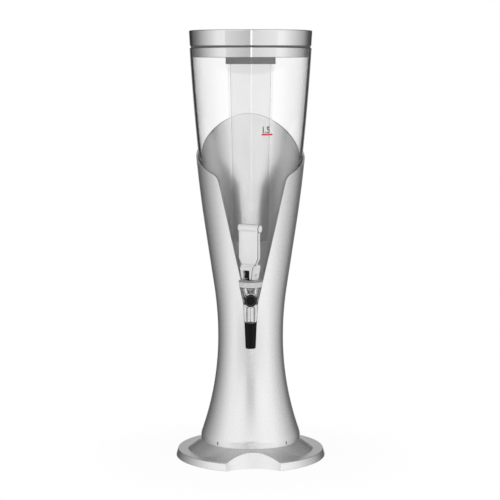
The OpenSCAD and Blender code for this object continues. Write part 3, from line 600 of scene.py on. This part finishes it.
def v_outline():
    """Half of the V, flattened out, as (distance from the middle, height): its foot, flank and shoulder."""
    start = Vector((V_BOTTOM_R * cos(V_HALF), TAP_Z - V_BOTTOM_R * sin(V_HALF)))
    along = Vector((sin(V_HALF), cos(V_HALF)))
    shoulder_x = mid_r(SHOULDER_Z) * sin(SHOULDER_AZ)
    slope = (SIDE_Z - SHOULDER_Z) / (pi / 2 - SHOULDER_AZ) / (mid_r(SHOULDER_Z) * cos(SHOULDER_AZ))
    reach = (SHOULDER_Z - start.y + slope * (start.x - shoulder_x)) / (along.y - slope * along.x)
    top = start + along * reach
    outline = arc((0, TAP_Z), V_BOTTOM_R, -pi / 2, -V_HALF, CORNER_STEPS)
    outline += [tuple(start + along * reach * i / V_STEPS) for i in range(1, V_STEPS_KEPT + 1)]
    return outline + rounded(start, top, top + Vector((1, slope)), V_SHOULDER_R, CORNER_STEPS)


def rim_height(az):
    """Height of the rim beyond its shoulder: a steady climb to the side, and a soft one on to the back."""
    if az <= pi / 2:
        return SHOULDER_Z + (SIDE_Z - SHOULDER_Z) * (az - SHOULDER_AZ) / (pi / 2 - SHOULDER_AZ)
    u = (az - pi / 2) / (pi / 2)
    return (SIDE_Z * (1 - 3 * u**2 + 2 * u**3) + RIM_BACK_Z * (3 * u**2 - 2 * u**3)
            + pi / 2 * SIDE_CLIMB * u * (1 - u) ** 2)


def rim_outline():
    """The rim as (azimuth from the front, height), from the bottom of the V round one side to the back."""
    half = [(asin(x / mid_r(z)), z) for x, z in v_outline()]
    return half + [(az, rim_height(az)) for az in steps(SHOULDER_AZ + RIM_STEP, pi, RIM_STEP)]


def slot_cutter(az):
    """A block as wide and high as a lock slot, through the column's wall."""
    deselect()
    place = (SKIRT_R * sin(az), -SKIRT_R * cos(az), SLOT_Z + SLOT_H / 2)
    bpy.ops.mesh.primitive_cube_add(size=1, location=place, rotation=(0, 0, az))
    cutter = bpy.context.object
    cutter.scale = (SLOT_W, SLOT_REACH, SLOT_H)
    settle(cutter)
    return cutter


def rolled_sheet(name, rim):
    """A flat sheet whose upper edge is the rim, rolled round the column's outline."""
    columns = len(rim) - 1
    deselect()
    bpy.ops.mesh.primitive_grid_add(x_subdivisions=columns, y_subdivisions=COLUMN_ROWS, size=1,
                                    location=(0, 0, 0))
    obj = added(name)
    for v in obj.data.vertices:
        az, top = rim[round((v.co.x + 0.5) * columns)]
        z = SHELF_Z + (top - SHELF_Z) * (v.co.y + 0.5)
        r = column_r(z)
        v.co = (r * sin(az + STAND_TURN), -r * cos(az + STAND_TURN), z)
    edit(obj)
    bpy.ops.mesh.remove_doubles(threshold=WELD)
    leave()
    if obj.data.polygons[0].normal.dot(obj.data.polygons[0].center * Vector((1, 1, 0))) < 0:
        edit(obj)
        bpy.ops.mesh.flip_normals()
        leave()
    return obj


def shade_rim(obj):
    """Keeps the painted shade for the inner half of the rounded rim, and for nothing else."""
    for face in obj.data.polygons:
        depth = column_r(face.center.z) - hypot(face.center.x, face.center.y)
        if depth < COLUMN_WALL / 2 or face.center.z < SLOT_Z:
            face.material_index = 0


def make_column():
    """The column: its rolled wall with a rounded rim, two lock slots and the ledge for the vessel."""
    half = rim_outline()
    obj = rolled_sheet("column", [(-az, z) for az, z in reversed(half)] + half[1:])
    with_modifier(obj, "SOLIDIFY", thickness=COLUMN_WALL, offset=-1, use_even_offset=True)
    obj.data.materials.append(silver_lacquer)
    # The second finish is painted shade, on the rounded rim's inner edge
    obj.data.materials.append(painted_gap_shade)
    soften(obj, RIM_SOFT, RIM_SOFT_ANGLE, finish=1)
    shade_rim(obj)
    for side in (-1, 1):
        cut_away(obj, slot_cutter(side * SLOT_AZ + STAND_TURN))
    low = LEDGE_Z - LEDGE_T
    joined(obj, turned("ledge", [(LEDGE_R, low), (mid_r(low), low), (mid_r(LEDGE_Z), LEDGE_Z),
                                 (LEDGE_R, LEDGE_Z)]))
    smooth(obj, TURNED_ANGLE)
    finish_piece(obj, silver_lacquer, "stand", "column_silver", "column_shell")


def notch_cutter(grow=0.0):
    """A cone as wide as the glass notch, grown by a margin, from under the base to above it."""
    low, high = BASE_LOW_Z - 0.002, CONE_Z + 0.004
    low_r, high_r = (NOTCH_R + grow + NOTCH_LEAN * (z - BASE_LOW_Z) for z in (low, high))
    deselect()
    bpy.ops.mesh.primitive_cone_add(
        vertices=LATHE_STEPS, radius1=low_r, radius2=high_r, depth=high - low,
        location=(NOTCH_C * sin(STAND_TURN), -NOTCH_C * cos(STAND_TURN), (low + high) / 2))
    return bpy.context.object


def front_cone(name, low, foot, high=CONE_Z):
    """The second cone of the base, which rises from the rim to the glass notch."""
    centre = (FRONT_CONE_C * sin(STAND_TURN), -FRONT_CONE_C * cos(STAND_TURN))
    top = foot - FRONT_CONE_LEAN * (high - low)
    return turned(name, [(0, low), (foot, low), (top, high), (0, high)], closed=False, centre=centre)


def disc_cutter(r, low, high):
    """A disc about the middle, between two heights."""
    deselect()
    bpy.ops.mesh.primitive_cylinder_add(vertices=LATHE_STEPS, radius=r, depth=high - low,
                                        location=(0, 0, (low + high) / 2))
    return bpy.context.object


def base_hollow():
    """The room under the base's shell, which leaves a wall along the glass notch."""
    low, under = BASE_LOW_Z - 0.001, SHELF_Z - BASE_ROOF
    hollow = turned("base_hollow", [
        (0, low), (BASE_R - BASE_WALL, low), (BASE_TOP_R - BASE_WALL, RIM_Z - BASE_WALL),
        (CONE_R - BASE_WALL / 2, RIM_Z - BASE_WALL), (SEAT_R + BASE_WALL, under), (0, under)], closed=False)
    joined(hollow, front_cone("low_front_cone", RIM_Z - BASE_WALL, FRONT_CONE_R - BASE_WALL, under))
    cut_away(hollow, notch_cutter(BASE_WALL))
    return hollow


def make_base():
    """The round base: a turned shell with two cones, and the glass notch cut into its front."""
    obj = turned("base", round_outline(
        [(0, BASE_LOW_Z), (BASE_R, BASE_LOW_Z), (BASE_TOP_R, RIM_Z), (CONE_R, RIM_Z), (SEAT_R, CONE_Z),
         (SEAT_R, SHELF_Z), (0, SHELF_Z)],
        [0, 0.0006, 0.0012, 0.002, 0.0004, 0, 0]), closed=False)
    joined(obj, front_cone("front_cone", RIM_Z, FRONT_CONE_R))
    cut_away(obj, disc_cutter(SEAT_R, SHELF_Z, CONE_Z + 0.005))
    cut_away(obj, notch_cutter())
    cut_away(obj, base_hollow())
    soften(obj, BASE_SOFT, BASE_SOFT_ANGLE)
    smooth(obj, COPY_ANGLE)
    finish_piece(obj, silver_lacquer, "stand", "base_silver", "base_foot")


# ---- vessel, lid and ice tube ----


def vessel_outline():
    """The vessel's wall and floor: up the outside from the middle of the foot, and down the inside."""
    foot_z, inner_z = SEAT_Z + VESSEL_ROUND, SEAT_Z + VESSEL_FLOOR
    top_r, lip_z = vessel_r(VESSEL_Z), VESSEL_Z - VESSEL_LIP
    rise = steps(foot_z, lip_z, VESSEL_STEP)
    fall = [z for z in reversed(rise) if z > inner_z + VESSEL_STEP]
    corner_z = inner_z + VESSEL_INNER_ROUND
    in_r = vessel_r(corner_z) - VESSEL_WALL
    outline = [(0, SEAT_Z)]
    outline += arc((vessel_r(foot_z) - VESSEL_ROUND, foot_z), VESSEL_ROUND, -pi / 2, 0, 6)
    outline += [(vessel_r(z), z) for z in rise[1:]]
    outline += arc((top_r - VESSEL_LIP, lip_z), VESSEL_LIP, 0, pi / 2, 4)[1:]
    outline += arc((top_r - VESSEL_WALL + VESSEL_LIP, lip_z), VESSEL_LIP, pi / 2, pi, 4)
    outline += [(vessel_r(z) - VESSEL_WALL, z) for z in fall[1:]]
    outline += arc((in_r - VESSEL_INNER_ROUND, corner_z), VESSEL_INNER_ROUND, 0, -pi / 2, 4)
    return outline + [(0, inner_z)]


def make_vessel():
    """The clear vessel, with a pad inside, a flat spot outside and a bore through both for the tap."""
    obj = turned("vessel", vessel_outline(), closed=False)
    outside = vessel_r(TAP_Z)
    inside, beyond = outside - VESSEL_WALL, outside - VESSEL_WALL + 0.02
    joined(obj, rod_to_front("pad", PAD_R, inside - PAD_DEPTH, inside + VESSEL_WALL / 2))
    cut_away(obj, rod_to_front("bore", SHANK_R, inside - 0.01, beyond))
    cut_away(obj, rod_to_front("spot", SPOT_R, outside - SPOT_DEPTH, beyond))
    smooth(obj, TURNED_ANGLE)
    finish_piece(obj, clear_plastic, "vessel", "clear_vessel", "beer_vessel")


def make_lid_piece(name, points, radii, closed, finishes):
    """A turned piece of the lid, from its outline and the radii of its corners."""
    obj = turned(name, round_outline(points, radii), closed=closed)
    smooth(obj, TURNED_ANGLE)
    finish_piece(obj, *finishes)


def plug_r(z):
    """Outer radius of the lid's plug, which fits the vessel with a gap."""
    return vessel_r(z) - VESSEL_WALL - PLUG_GAP


def make_lid():
    """The plated lid: cap, plug and the seal between them."""
    edge_r, dish_z = LID_TOP_R - LID_EDGE, LID_TOP - LID_DISH
    make_lid_piece(
        "lid",
        [(0, ROOF_Z), (LID_IN_R, ROOF_Z), (LID_IN_R, LID_Z), (LID_R, LID_Z), (LID_TOP_R, LID_TOP),
         (edge_r, LID_TOP), (edge_r - LID_DISH, dish_z), (0, dish_z)],
        [0, 0, 0.0004, 0.0004, LID_ROUND, 0.0008, 0.0006, 0],
        False, (bright_plating, "lid", "lid_silver", "lid_cap"))
    groove_r, flange_r = plug_r(VESSEL_Z) - GROOVE, LID_IN_R - FLANGE_GAP
    bore_r, flange_z, floor_z = groove_r - PLUG_WALL, LID_Z + FLANGE, PLUG_Z + PLUG_WALL
    make_lid_piece(
        "plug",
        [(0, PLUG_Z), (plug_r(PLUG_Z), PLUG_Z), (plug_r(VESSEL_Z), VESSEL_Z), (groove_r, VESSEL_Z),
         (groove_r, LID_Z), (flange_r, LID_Z), (flange_r, flange_z), (groove_r, flange_z),
         (groove_r, ROOF_Z), (bore_r, ROOF_Z), (bore_r, floor_z), (0, floor_z)],
        [0, 0.0010, 0.0004, 0, 0, 0, 0, 0, 0, 0, 0.001, 0],
        False, (bright_plating, "lid", "lid_silver", "lid_plug"))
    low_r, seal_r = groove_r + SEAL_GAP, groove_r + SEAL_W
    make_lid_piece(
        "seal",
        [(low_r, VESSEL_Z), (seal_r, VESSEL_Z), (seal_r, LID_Z), (low_r, LID_Z)],
        [0, 0.0006, 0.0006, 0],
        True, (grey_rubber, "lid", "grey_rubber", "lid_seal"))


def on_vessel(x, z):
    """A point of the print, just off the vessel's outer face."""
    return (x, -sqrt((vessel_r(z) + MARK_LIFT) ** 2 - x**2), z)


def print_piece(obj, ink):
    """Gives a piece of the print its slight thickness and its ink."""
    with_modifier(obj, "SOLIDIFY", thickness=MARK_T, offset=0)
    finish_piece(obj, ink, "vessel", "clear_vessel")


def make_mark():
    """The fill mark on the vessel: a red line with its numerals above it, on the outer face."""
    deselect()
    bpy.ops.mesh.primitive_grid_add(x_subdivisions=12, y_subdivisions=2, size=1, location=(0, 0, 0))
    line = added("mark_line")
    for v in line.data.vertices:
        v.co = on_vessel(MARK_X[0] + (MARK_X[1] - MARK_X[0]) * (v.co.x + 0.5), MARK_Z + MARK_LINE * v.co.y)
    print_piece(line, red_ink)
    deselect()
    bpy.ops.object.text_add(location=(0, 0, 0))
    text = added("mark_numerals")
    text.data.body = "1.5"
    text.data.size = NUMERAL_SIZE
    text.data.offset = NUMERAL_WEIGHT
    bpy.ops.object.convert(target="MESH")
    text = bpy.context.object
    left = min(v.co.x for v in text.data.vertices)
    start = MARK_X[0] + NUMERAL_INSET
    for v in text.data.vertices:
        v.co = on_vessel(start + (v.co.x - left) * NUMERAL_NARROW, MARK_Z + MARK_LINE + v.co.y)
    print_piece(text, dark_ink)


# ---- lever ----


def slab(name, outline, y0, y1):
    """A slab whose front view is the outline, between two depths."""
    deselect()
    bpy.ops.mesh.primitive_circle_add(vertices=len(outline), radius=0.01, fill_type="NGON",
                                      location=(0, 0, 0))
    obj = added(name)
    for v, (x, z) in zip(obj.data.vertices, outline):
        v.co = (x, y0, z)
    edit(obj)
    bpy.ops.mesh.extrude_region_move(TRANSFORM_OT_translate={"value": (0, y1 - y0, 0)})
    bpy.ops.mesh.select_all(action="SELECT")
    bpy.ops.mesh.normals_make_consistent(inside=False)
    leave()
    return obj


def gap_outline(low, high):
    """A rectangle as wide as the gap between the fork's cheeks, between two heights."""
    side = HEAD_ROOM / 2
    return [(-side, low), (side, low), (side, high), (-side, high)]


def rod_across(name, r, length, y, z, count=48):
    """A rod from side to side, at that depth and height."""
    deselect()
    bpy.ops.mesh.primitive_cylinder_add(vertices=count, radius=r, depth=length, location=(0, y, z),
                                        rotation=(0, pi / 2, 0))
    rod = added(name)
    settle(rod)
    return rod


def cam_point(a):
    """A point of the fork's foot, as (depth, height): the heel lifts the pin as the lever tilts."""
    reach = HEEL + CAM_RATE * a
    return (-reach * sin(a) - CAM_RATE * cos(a), -reach * cos(a) + CAM_RATE * sin(a))


def fork_side():
    """The fork from the side: the cam at its foot, and a spine that carries the paddle."""
    toe = cam_point(LEVER_LIMIT)
    front = toe[0] - TOE_STEP
    spine_front, spine_back = -PADDLE_FORE - PADDLE_T / 2, -PADDLE_FORE + PADDLE_T / 2
    points = [cam_point(radians(a)) for a in range(0, 46, 5)]
    points += [(front, toe[1] + TOE_STEP), (front, FORK_TOP - FORK_CORNER), (front + FORK_CORNER, FORK_TOP),
               (spine_front, FORK_TOP + FORK_CORNER), (spine_front, PADDLE_LOW), (spine_back, PADDLE_LOW),
               (spine_back, FORK_TOP + FORK_CORNER), (FORK_BACK - FORK_CORNER / 2, FORK_TOP),
               (FORK_BACK, FORK_TOP - FORK_CORNER)]
    return points + rounded((FORK_BACK, FORK_TOP), (FORK_BACK - FORK_LEAN, -HEEL), (0, -HEEL), HEEL_ROUND)


def with_edges(obj, width, angle=50):
    """Rounds a clear piece's edges and gives them painted shade, a darker clear finish."""
    obj.data.materials.append(lever_plastic)
    obj.data.materials.append(painted_clear_edge_shade)
    soften(obj, width, angle, finish=1)
    return obj


def lever_fork():
    """The lever's foot: its side view across the whole width, then narrowed to its front view."""
    fork = slab("lever_fork", fork_side(), -FORK_W, FORK_W)
    turn_over = [(v, v.co.y, v.co.x) for v in fork.data.vertices]
    for v, across, depth in turn_over:
        v.co = (across, depth, v.co.z)
    edit(fork)
    bpy.ops.mesh.normals_make_consistent(inside=False)
    leave()
    low, wide, top = FORK_LOW_W / 2, FORK_W / 2, PADDLE_LOW + 0.001
    outline = [(-low, -HEEL), (low, -HEEL), (wide, FORK_TOP), (wide, top), (-wide, top), (-wide, FORK_TOP)]
    combine(fork, slab("wedge", outline, -CUTTER_REACH, CUTTER_REACH), "INTERSECT")
    return with_edges(fork, LEVER_SOFT)


def lever_paddle():
    """The lever's flat paddle, which widens from the fork to the roll."""
    foot, side = FORK_W / 2, PADDLE_W / 2
    outline = [(-foot, FORK_TOP), (foot, FORK_TOP), (side, PADDLE_LOW), (side, ROLL_Z), (-side, ROLL_Z),
               (-side, PADDLE_LOW)]
    paddle = slab("paddle", outline, -PADDLE_T / 2 - PADDLE_FORE, PADDLE_T / 2 - PADDLE_FORE)
    return with_edges(paddle, PADDLE_SOFT, PADDLE_SOFT_ANGLE)


def make_lever():
    """The clear lever: a forked foot, a flat paddle and a roll along its top."""
    fork = lever_fork()
    paddle = lever_paddle()
    roll = with_edges(rod_across("roll", ROLL_R, ROLL_LEN, -ROLL_FORE, ROLL_Z), PADDLE_SOFT)
    joined(fork, paddle)
    joined(fork, roll)
    cut_away(fork, slab("room", gap_outline(-0.01, 0), -CUTTER_REACH, CUTTER_REACH))
    cut_away(fork, slab("window", gap_outline(-0.001, WINDOW_H), -CUTTER_REACH, 0))
    cut_away(fork, rod_across("sweep", HEAD_SWEEP, HEAD_ROOM + 2 * SWEEP_STEP, 0, 0, 64))
    cut_away(fork, rod_across("pin_hole", PIN_R, 0.03, 0, 0, 29))
    smooth(fork, LEVER_ANGLE)
    edit(fork)
    bpy.ops.transform.rotate(value=-LEVER_TURN, orient_axis="Z", orient_type="GLOBAL",
                             center_override=(0, 0, 0))
    bpy.ops.transform.translate(value=(0, TAP_Y, PIN_Z))
    leave()
    fork.name = "lever_clear"
    finish_piece(fork, lever_plastic, "lever", "clear_tap", "lever")


# ---- small pieces ----


def make_small_pieces():
    """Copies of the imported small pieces, joined up, with softened edges and smooth rounds."""
    made = [
        ("tap_body", 0.0002, clear_moulding, "vessel", "clear_tap"),
        ("bonnet", 0.0004, milky_plastic, "vessel", "frosted"),
        ("front_plug", 0.0004, black_plastic, "vessel", "black_plastic"),
        ("spout_nozzle", 0.0004, black_plastic, "vessel", "black_plastic"),
        ("shank_gasket", 0.0002, black_rubber, "vessel", "dark_rubber"),
        ("inner_washer", 0.0002, black_rubber, "vessel", "dark_rubber"),
        ("shank_nut", 0.0004, white_plastic, "vessel", "white_plastic"),
        ("valve_stem", 0.0002, white_plastic, "stem", "white_plastic"),
        ("seat_cup", 0.0003, grey_rubber, "stem", "grey_rubber"),
        ("stem_head", 0.0003, black_plastic, "head", "black_plastic"),
        ("lever_pin", 0.0002, bright_steel, "head", "bright_steel"),
        ("tube_collar", 0.0003, grey_plastic, "lid", "grey_plastic"),
        ("ice_tube", 0.0003, frosted_plastic, "ice_tube", "frosted"),
        ("base_cover", 0.0003, grey_plastic, "stand", "grey_plastic"),
    ]
    for i in range(1, 5):
        made.append((f"column_screw_{i}", 0.0001, bright_steel, "stand", "bright_steel"))
        made.append((f"cover_screw_{i}", 0.0001, bright_steel, "stand", "bright_steel"))
        made.append((f"rubber_foot_{i}", 0.0003, black_rubber, "stand", "dark_rubber"))
    # The edge finishes paint shade on the clear pieces' rounded edges and a highlight on the black pieces'
    # rounded edges
    edges = {"tap_body": painted_clear_edge_shade, "bonnet": painted_clear_edge_shade,
             "front_plug": painted_black_edge_highlight, "spout_nozzle": painted_black_edge_highlight}
    for node, width, material, body, slot in made:
        finish_piece(copied(node, node + "_smooth", width, edges.get(node)), material, body, slot, node)


def make_spring():
    """The return spring, copied with a mesh of its own; the real one shortens towards its upper end as the
    lever tilts.
    """
    spring = copied("return_spring", "return_spring_smooth")
    finish_piece(spring, bright_steel, "vessel", "bright_steel", "return_spring")
    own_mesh(spring)


make_column()
make_base()
make_vessel()
make_lid()
make_mark()
make_lever()
make_small_pieces()
make_spring()


# ---- studio ----


# The camera that fits the photograph's outlines, its focal length and frame in pixels of the photograph
CAMERA_PLACE = (-0.0007, -1.8878, 0.47495)
CAMERA_DOWN = radians(6.8)
FOCAL_PX, FRAME_PX, SENSOR_MM = 1590, 500, 36

# The two softboxes: to each side by this azimuth, aimed at the middle of the tower
SOFTBOX_AZ, SOFTBOX_FAR, SOFTBOX_Z = radians(62), 1.5, 0.75
SOFTBOX_W, SOFTBOX_TALL = 0.9, 1.2
SOFTBOX_POWER = 8.5
AIM_Z = 0.27

# The floor: how white the camera and the clear plastic see it, from near the middle out to its edge
FLOOR_R = 0.55
FADE_FROM, FADE_TO = 0.10, 0.24
WHITE_NEAR, WHITE_FAR = 0.94, 1.0

# The studio's panels, as azimuths from the front in degrees and their brightness.
# Both rings share their sides and back; the lid's level has one front, and all other levels another.
LEFT_SIDE = [(-180, 0.60), (-164, 0.60), (-163.8, 0.02), (-148, 0.04), (-120, 0.24), (-65, 0.92)]
RIGHT_SIDE = [(62, 1.00), (115, 0.42), (135, 0.12), (163.8, 0.02), (164, 0.60), (180, 0.60)]
LID_FRONT = [(-48.2, 0.95), (-48, 0.78), (0.4, 0.56), (0.6, 2.60), (1.8, 2.60), (2.0, 0.78), (51.8, 0.92),
             (52, 1.00)]
COLUMN_FRONT = [(-48, 0.96), (-30, 1.05), (-15, 0.96), (-9, 0.40), (9, 0.40), (15, 1.00), (35, 1.12),
                (52, 1.02)]

# Shares by elevation in degrees: of the lid's ring, of a bright band, of the roof and of a darker high back
LID_LEVEL = [(-19, 0), (-15, 1), (-1, 1), (3, 0)]
BRIGHT_BAND = [(9, 0), (22, 1), (36, 1), (50, 0)]
ROOF = [(38, 0), (58, 1)]
HIGH_BACK = [(15, 0), (20, 1)]
# Shares by the angle from straight ahead in degrees: the band lies ahead, and the high back behind
AHEAD = [(80, 0), (35, 1)]
BEHIND = [(120, 1), (100, 0)]
BAND_LIGHT = 1.00
ROOF_LIGHT = 0.45
HIGH_BACK_LIGHT = 0.20

# The light that rays meet which left through clear plastic after a mirror bounce: what the column's inner
# wall shows behind the vessel. The sides count little above the wall's own level, and a glow lies ahead.
INNER_DARK = [(-1, 0), (3, 1)]
INNER_SIDES = 0.25
INNER_LEVEL = [(0, 0), (5, 1), (14, 1), (19, 0)]
INNER_NEAR = [(92, 0), (74, 0.20), (54, 0.40), (36, 1)]
INNER_GLOW = 2.40
# The share of it that is left from the second bounce on
INNER_TWICE = 0.42
# The plain level from the third bounce on, once six faces of clear plastic are passed
INNER_DEEP = 0.90
DEEP_WALLS = 5.5


def place_camera():
    """The photograph's view: level with the lid, looking down a little."""
    data = bpy.data.cameras.new("view")
    data.sensor_width = SENSOR_MM
    data.lens = FOCAL_PX * SENSOR_MM / FRAME_PX
    data.clip_start, data.clip_end = 0.05, 50
    cam = bpy.data.objects.new("view", data)
    cam.location = CAMERA_PLACE
    cam.rotation_euler = (pi / 2 - CAMERA_DOWN, 0, 0)
    bpy.context.scene.collection.objects.link(cam)
    bpy.context.scene.camera = cam


def softbox(name, azimuth):
    """A large soft lamp at an azimuth from the front, for light and shadow only."""
    data = bpy.data.lights.new(name, "AREA")
    data.shape = "RECTANGLE"
    data.size, data.size_y = SOFTBOX_W, SOFTBOX_TALL
    data.energy = SOFTBOX_POWER
    lamp = bpy.data.objects.new(name, data)
    lamp.location = (SOFTBOX_FAR * sin(azimuth), -SOFTBOX_FAR * cos(azimuth), SOFTBOX_Z)
    toward = Vector((0, 0, AIM_Z)) - lamp.location
    lamp.rotation_euler = toward.to_track_quat("-Z", "Y").to_euler()
    lamp.visible_camera = False
    lamp.visible_glossy = False
    lamp.visible_transmission = False
    bpy.context.scene.collection.objects.link(lamp)


def halved(tree, value):
    """A value from -1 to 1, brought to the 0 to 1 that a ramp reads."""
    return math_of(tree, "ADD", math_of(tree, "DIVIDE", value, 2.0), 0.5)


class Directions:
    """Curves over the direction in which a ray leaves: by azimuth, by elevation and by angle from ahead."""

    def __init__(self, tree):
        """Reads the ray's direction, from which the curves are drawn."""
        self.tree = tree
        way = tree.nodes.new("ShaderNodeTexCoord")
        parts = tree.nodes.new("ShaderNodeSeparateXYZ")
        tree.links.new(way.outputs["Generated"], parts.inputs[0])
        front = math_of(tree, "MULTIPLY", parts.outputs["Y"], -1.0)
        azimuth = math_of(tree, "ARCTAN2", parts.outputs["X"], front)
        self.turn = math_of(tree, "ADD", math_of(tree, "DIVIDE", azimuth, 2 * pi), 0.5)
        self.height = halved(tree, parts.outputs["Z"])
        self.front = halved(tree, front)

    def ring(self, points):
        """By azimuth from the front, in degrees."""
        return ramp_of(self.tree, self.turn, [((a + 180) / 360, v) for a, v in points])

    def level(self, points):
        """By elevation, in degrees."""
        return ramp_of(self.tree, self.height, [(sin(radians(e)) / 2 + 0.5, v) for e, v in points])

    def off_front(self, points):
        """By the angle from straight ahead, in degrees."""
        return ramp_of(self.tree, self.front, [(cos(radians(a)) / 2 + 0.5, v) for a, v in points])


def studio_panels(tree, way, through):
    """The panels round the tower. Rays that come through clear plastic off a mirror meet the lid's ring."""
    lid_share = math_of(tree, "MAXIMUM", way.level(LID_LEVEL), through)
    panels = mix_of(tree, lid_share, way.ring(LEFT_SIDE + COLUMN_FRONT + RIGHT_SIDE),
                    way.ring(LEFT_SIDE + LID_FRONT + RIGHT_SIDE))
    band = math_of(tree, "MULTIPLY", way.off_front(AHEAD), way.level(BRIGHT_BAND))
    panels = mix_of(tree, band, panels, BAND_LIGHT)
    high_back = math_of(tree, "MULTIPLY", way.off_front(BEHIND), way.level(HIGH_BACK))
    panels = mix_of(tree, high_back, panels, HIGH_BACK_LIGHT)
    return mix_of(tree, way.level(ROOF), panels, ROOF_LIGHT)


def inner_light(tree, way, ray, panels):
    """The light that the column's inner wall shows behind the vessel, by the ray's number of bounces."""
    glow = math_of(tree, "MULTIPLY", way.off_front(INNER_NEAR), way.level(INNER_LEVEL))
    glow = math_of(tree, "MULTIPLY", glow, INNER_GLOW)
    sides = mix_of(tree, way.level(INNER_DARK), 1.0, INNER_SIDES)
    inner = math_of(tree, "ADD", math_of(tree, "MULTIPLY", panels, sides), glow)
    twice = math_of(tree, "GREATER_THAN", ray.outputs["Glossy Depth"], 1.5)
    inner = mix_of(tree, twice, inner, math_of(tree, "MULTIPLY", inner, INNER_TWICE))
    thrice = math_of(tree, "GREATER_THAN", ray.outputs["Glossy Depth"], 2.5)
    walls = math_of(tree, "GREATER_THAN", ray.outputs["Transmission Depth"], DEEP_WALLS)
    return mix_of(tree, math_of(tree, "MULTIPLY", thrice, walls), inner, INNER_DEEP)


def light_world():
    """White to the camera and straight through clear plastic, and the studio's panels to all other rays."""
    world = bpy.data.worlds.new("studio")
    world.use_nodes = True
    bpy.context.scene.world = world
    tree = world.node_tree
    way = Directions(tree)
    ray = tree.nodes.new("ShaderNodeLightPath")
    mirrored = math_of(tree, "GREATER_THAN", ray.outputs["Glossy Depth"], 0.5)
    through = math_of(tree, "MULTIPLY", ray.outputs["Is Transmission Ray"], mirrored)
    straight = math_of(tree, "SUBTRACT", ray.outputs["Is Transmission Ray"], through)
    panels = studio_panels(tree, way, through)
    panels = mix_of(tree, through, panels, inner_light(tree, way, ray, panels))
    white = math_of(tree, "MAXIMUM", ray.outputs["Is Camera Ray"], straight)
    background = tree.nodes["Background"]
    background.inputs["Strength"].default_value = 1.0
    tree.links.new(mix_of(tree, white, panels, 1.0), background.inputs["Color"])


def floor_white(tree, ray):
    """How far the floor shows plain white: to the camera and through clear plastic, more so further out."""
    place = tree.nodes.new("ShaderNodeTexCoord")
    far = tree.nodes.new("ShaderNodeVectorMath")
    far.operation = "LENGTH"
    tree.links.new(place.outputs["Object"], far.inputs[0])
    fade = tree.nodes.new("ShaderNodeMapRange")
    fade.interpolation_type = "SMOOTHSTEP"
    fade.inputs["From Min"].default_value = FADE_FROM
    fade.inputs["From Max"].default_value = FADE_TO
    fade.inputs["To Min"].default_value = WHITE_NEAR
    fade.inputs["To Max"].default_value = WHITE_FAR
    tree.links.new(far.outputs["Value"], fade.inputs["Value"])
    seen = math_of(tree, "MAXIMUM", ray.outputs["Is Camera Ray"], ray.outputs["Is Transmission Ray"])
    return math_of(tree, "MULTIPLY", fade.outputs["Result"], seen)


def lay_floor():
    """A white disc with the tower's own shadow near the middle, which the metal doesn't reflect."""
    deselect()
    bpy.ops.mesh.primitive_circle_add(vertices=96, radius=FLOOR_R, fill_type="NGON", location=(0, 0, 0))
    floor = added("floor")
    m = new_finish("pale_floor", 0.86, 0.8, Specular_IOR_Level=0.0)
    tree = m.node_tree
    ray = tree.nodes.new("ShaderNodeLightPath")
    glow = tree.nodes.new("ShaderNodeEmission")
    glow.inputs["Color"].default_value = (1, 1, 1, 1)
    glow.inputs["Strength"].default_value = 1.0
    shader = tree.nodes["Principled BSDF"]
    surface = mix_shaders(tree, floor_white(tree, ray), shader.outputs[0], glow.outputs[0])
    # the silver lacquer reflects the studio's panels instead of the floor
    clear = tree.nodes.new("ShaderNodeBsdfTransparent")
    surface = mix_shaders(tree, ray.outputs["Is Glossy Ray"], surface, clear.outputs[0])
    tree.links.new(surface, tree.nodes["Material Output"].inputs["Surface"])
    floor.data.materials.append(m)


place_camera()
lay_floor()
light_world()
softbox("left_softbox", -SOFTBOX_AZ)
softbox("right_softbox", SOFTBOX_AZ)
scene = bpy.context.scene
scene.view_settings.view_transform = "Standard"
scene.cycles.max_bounces = 32
scene.cycles.transmission_bounces = 32
scene.cycles.glossy_bounces = 8
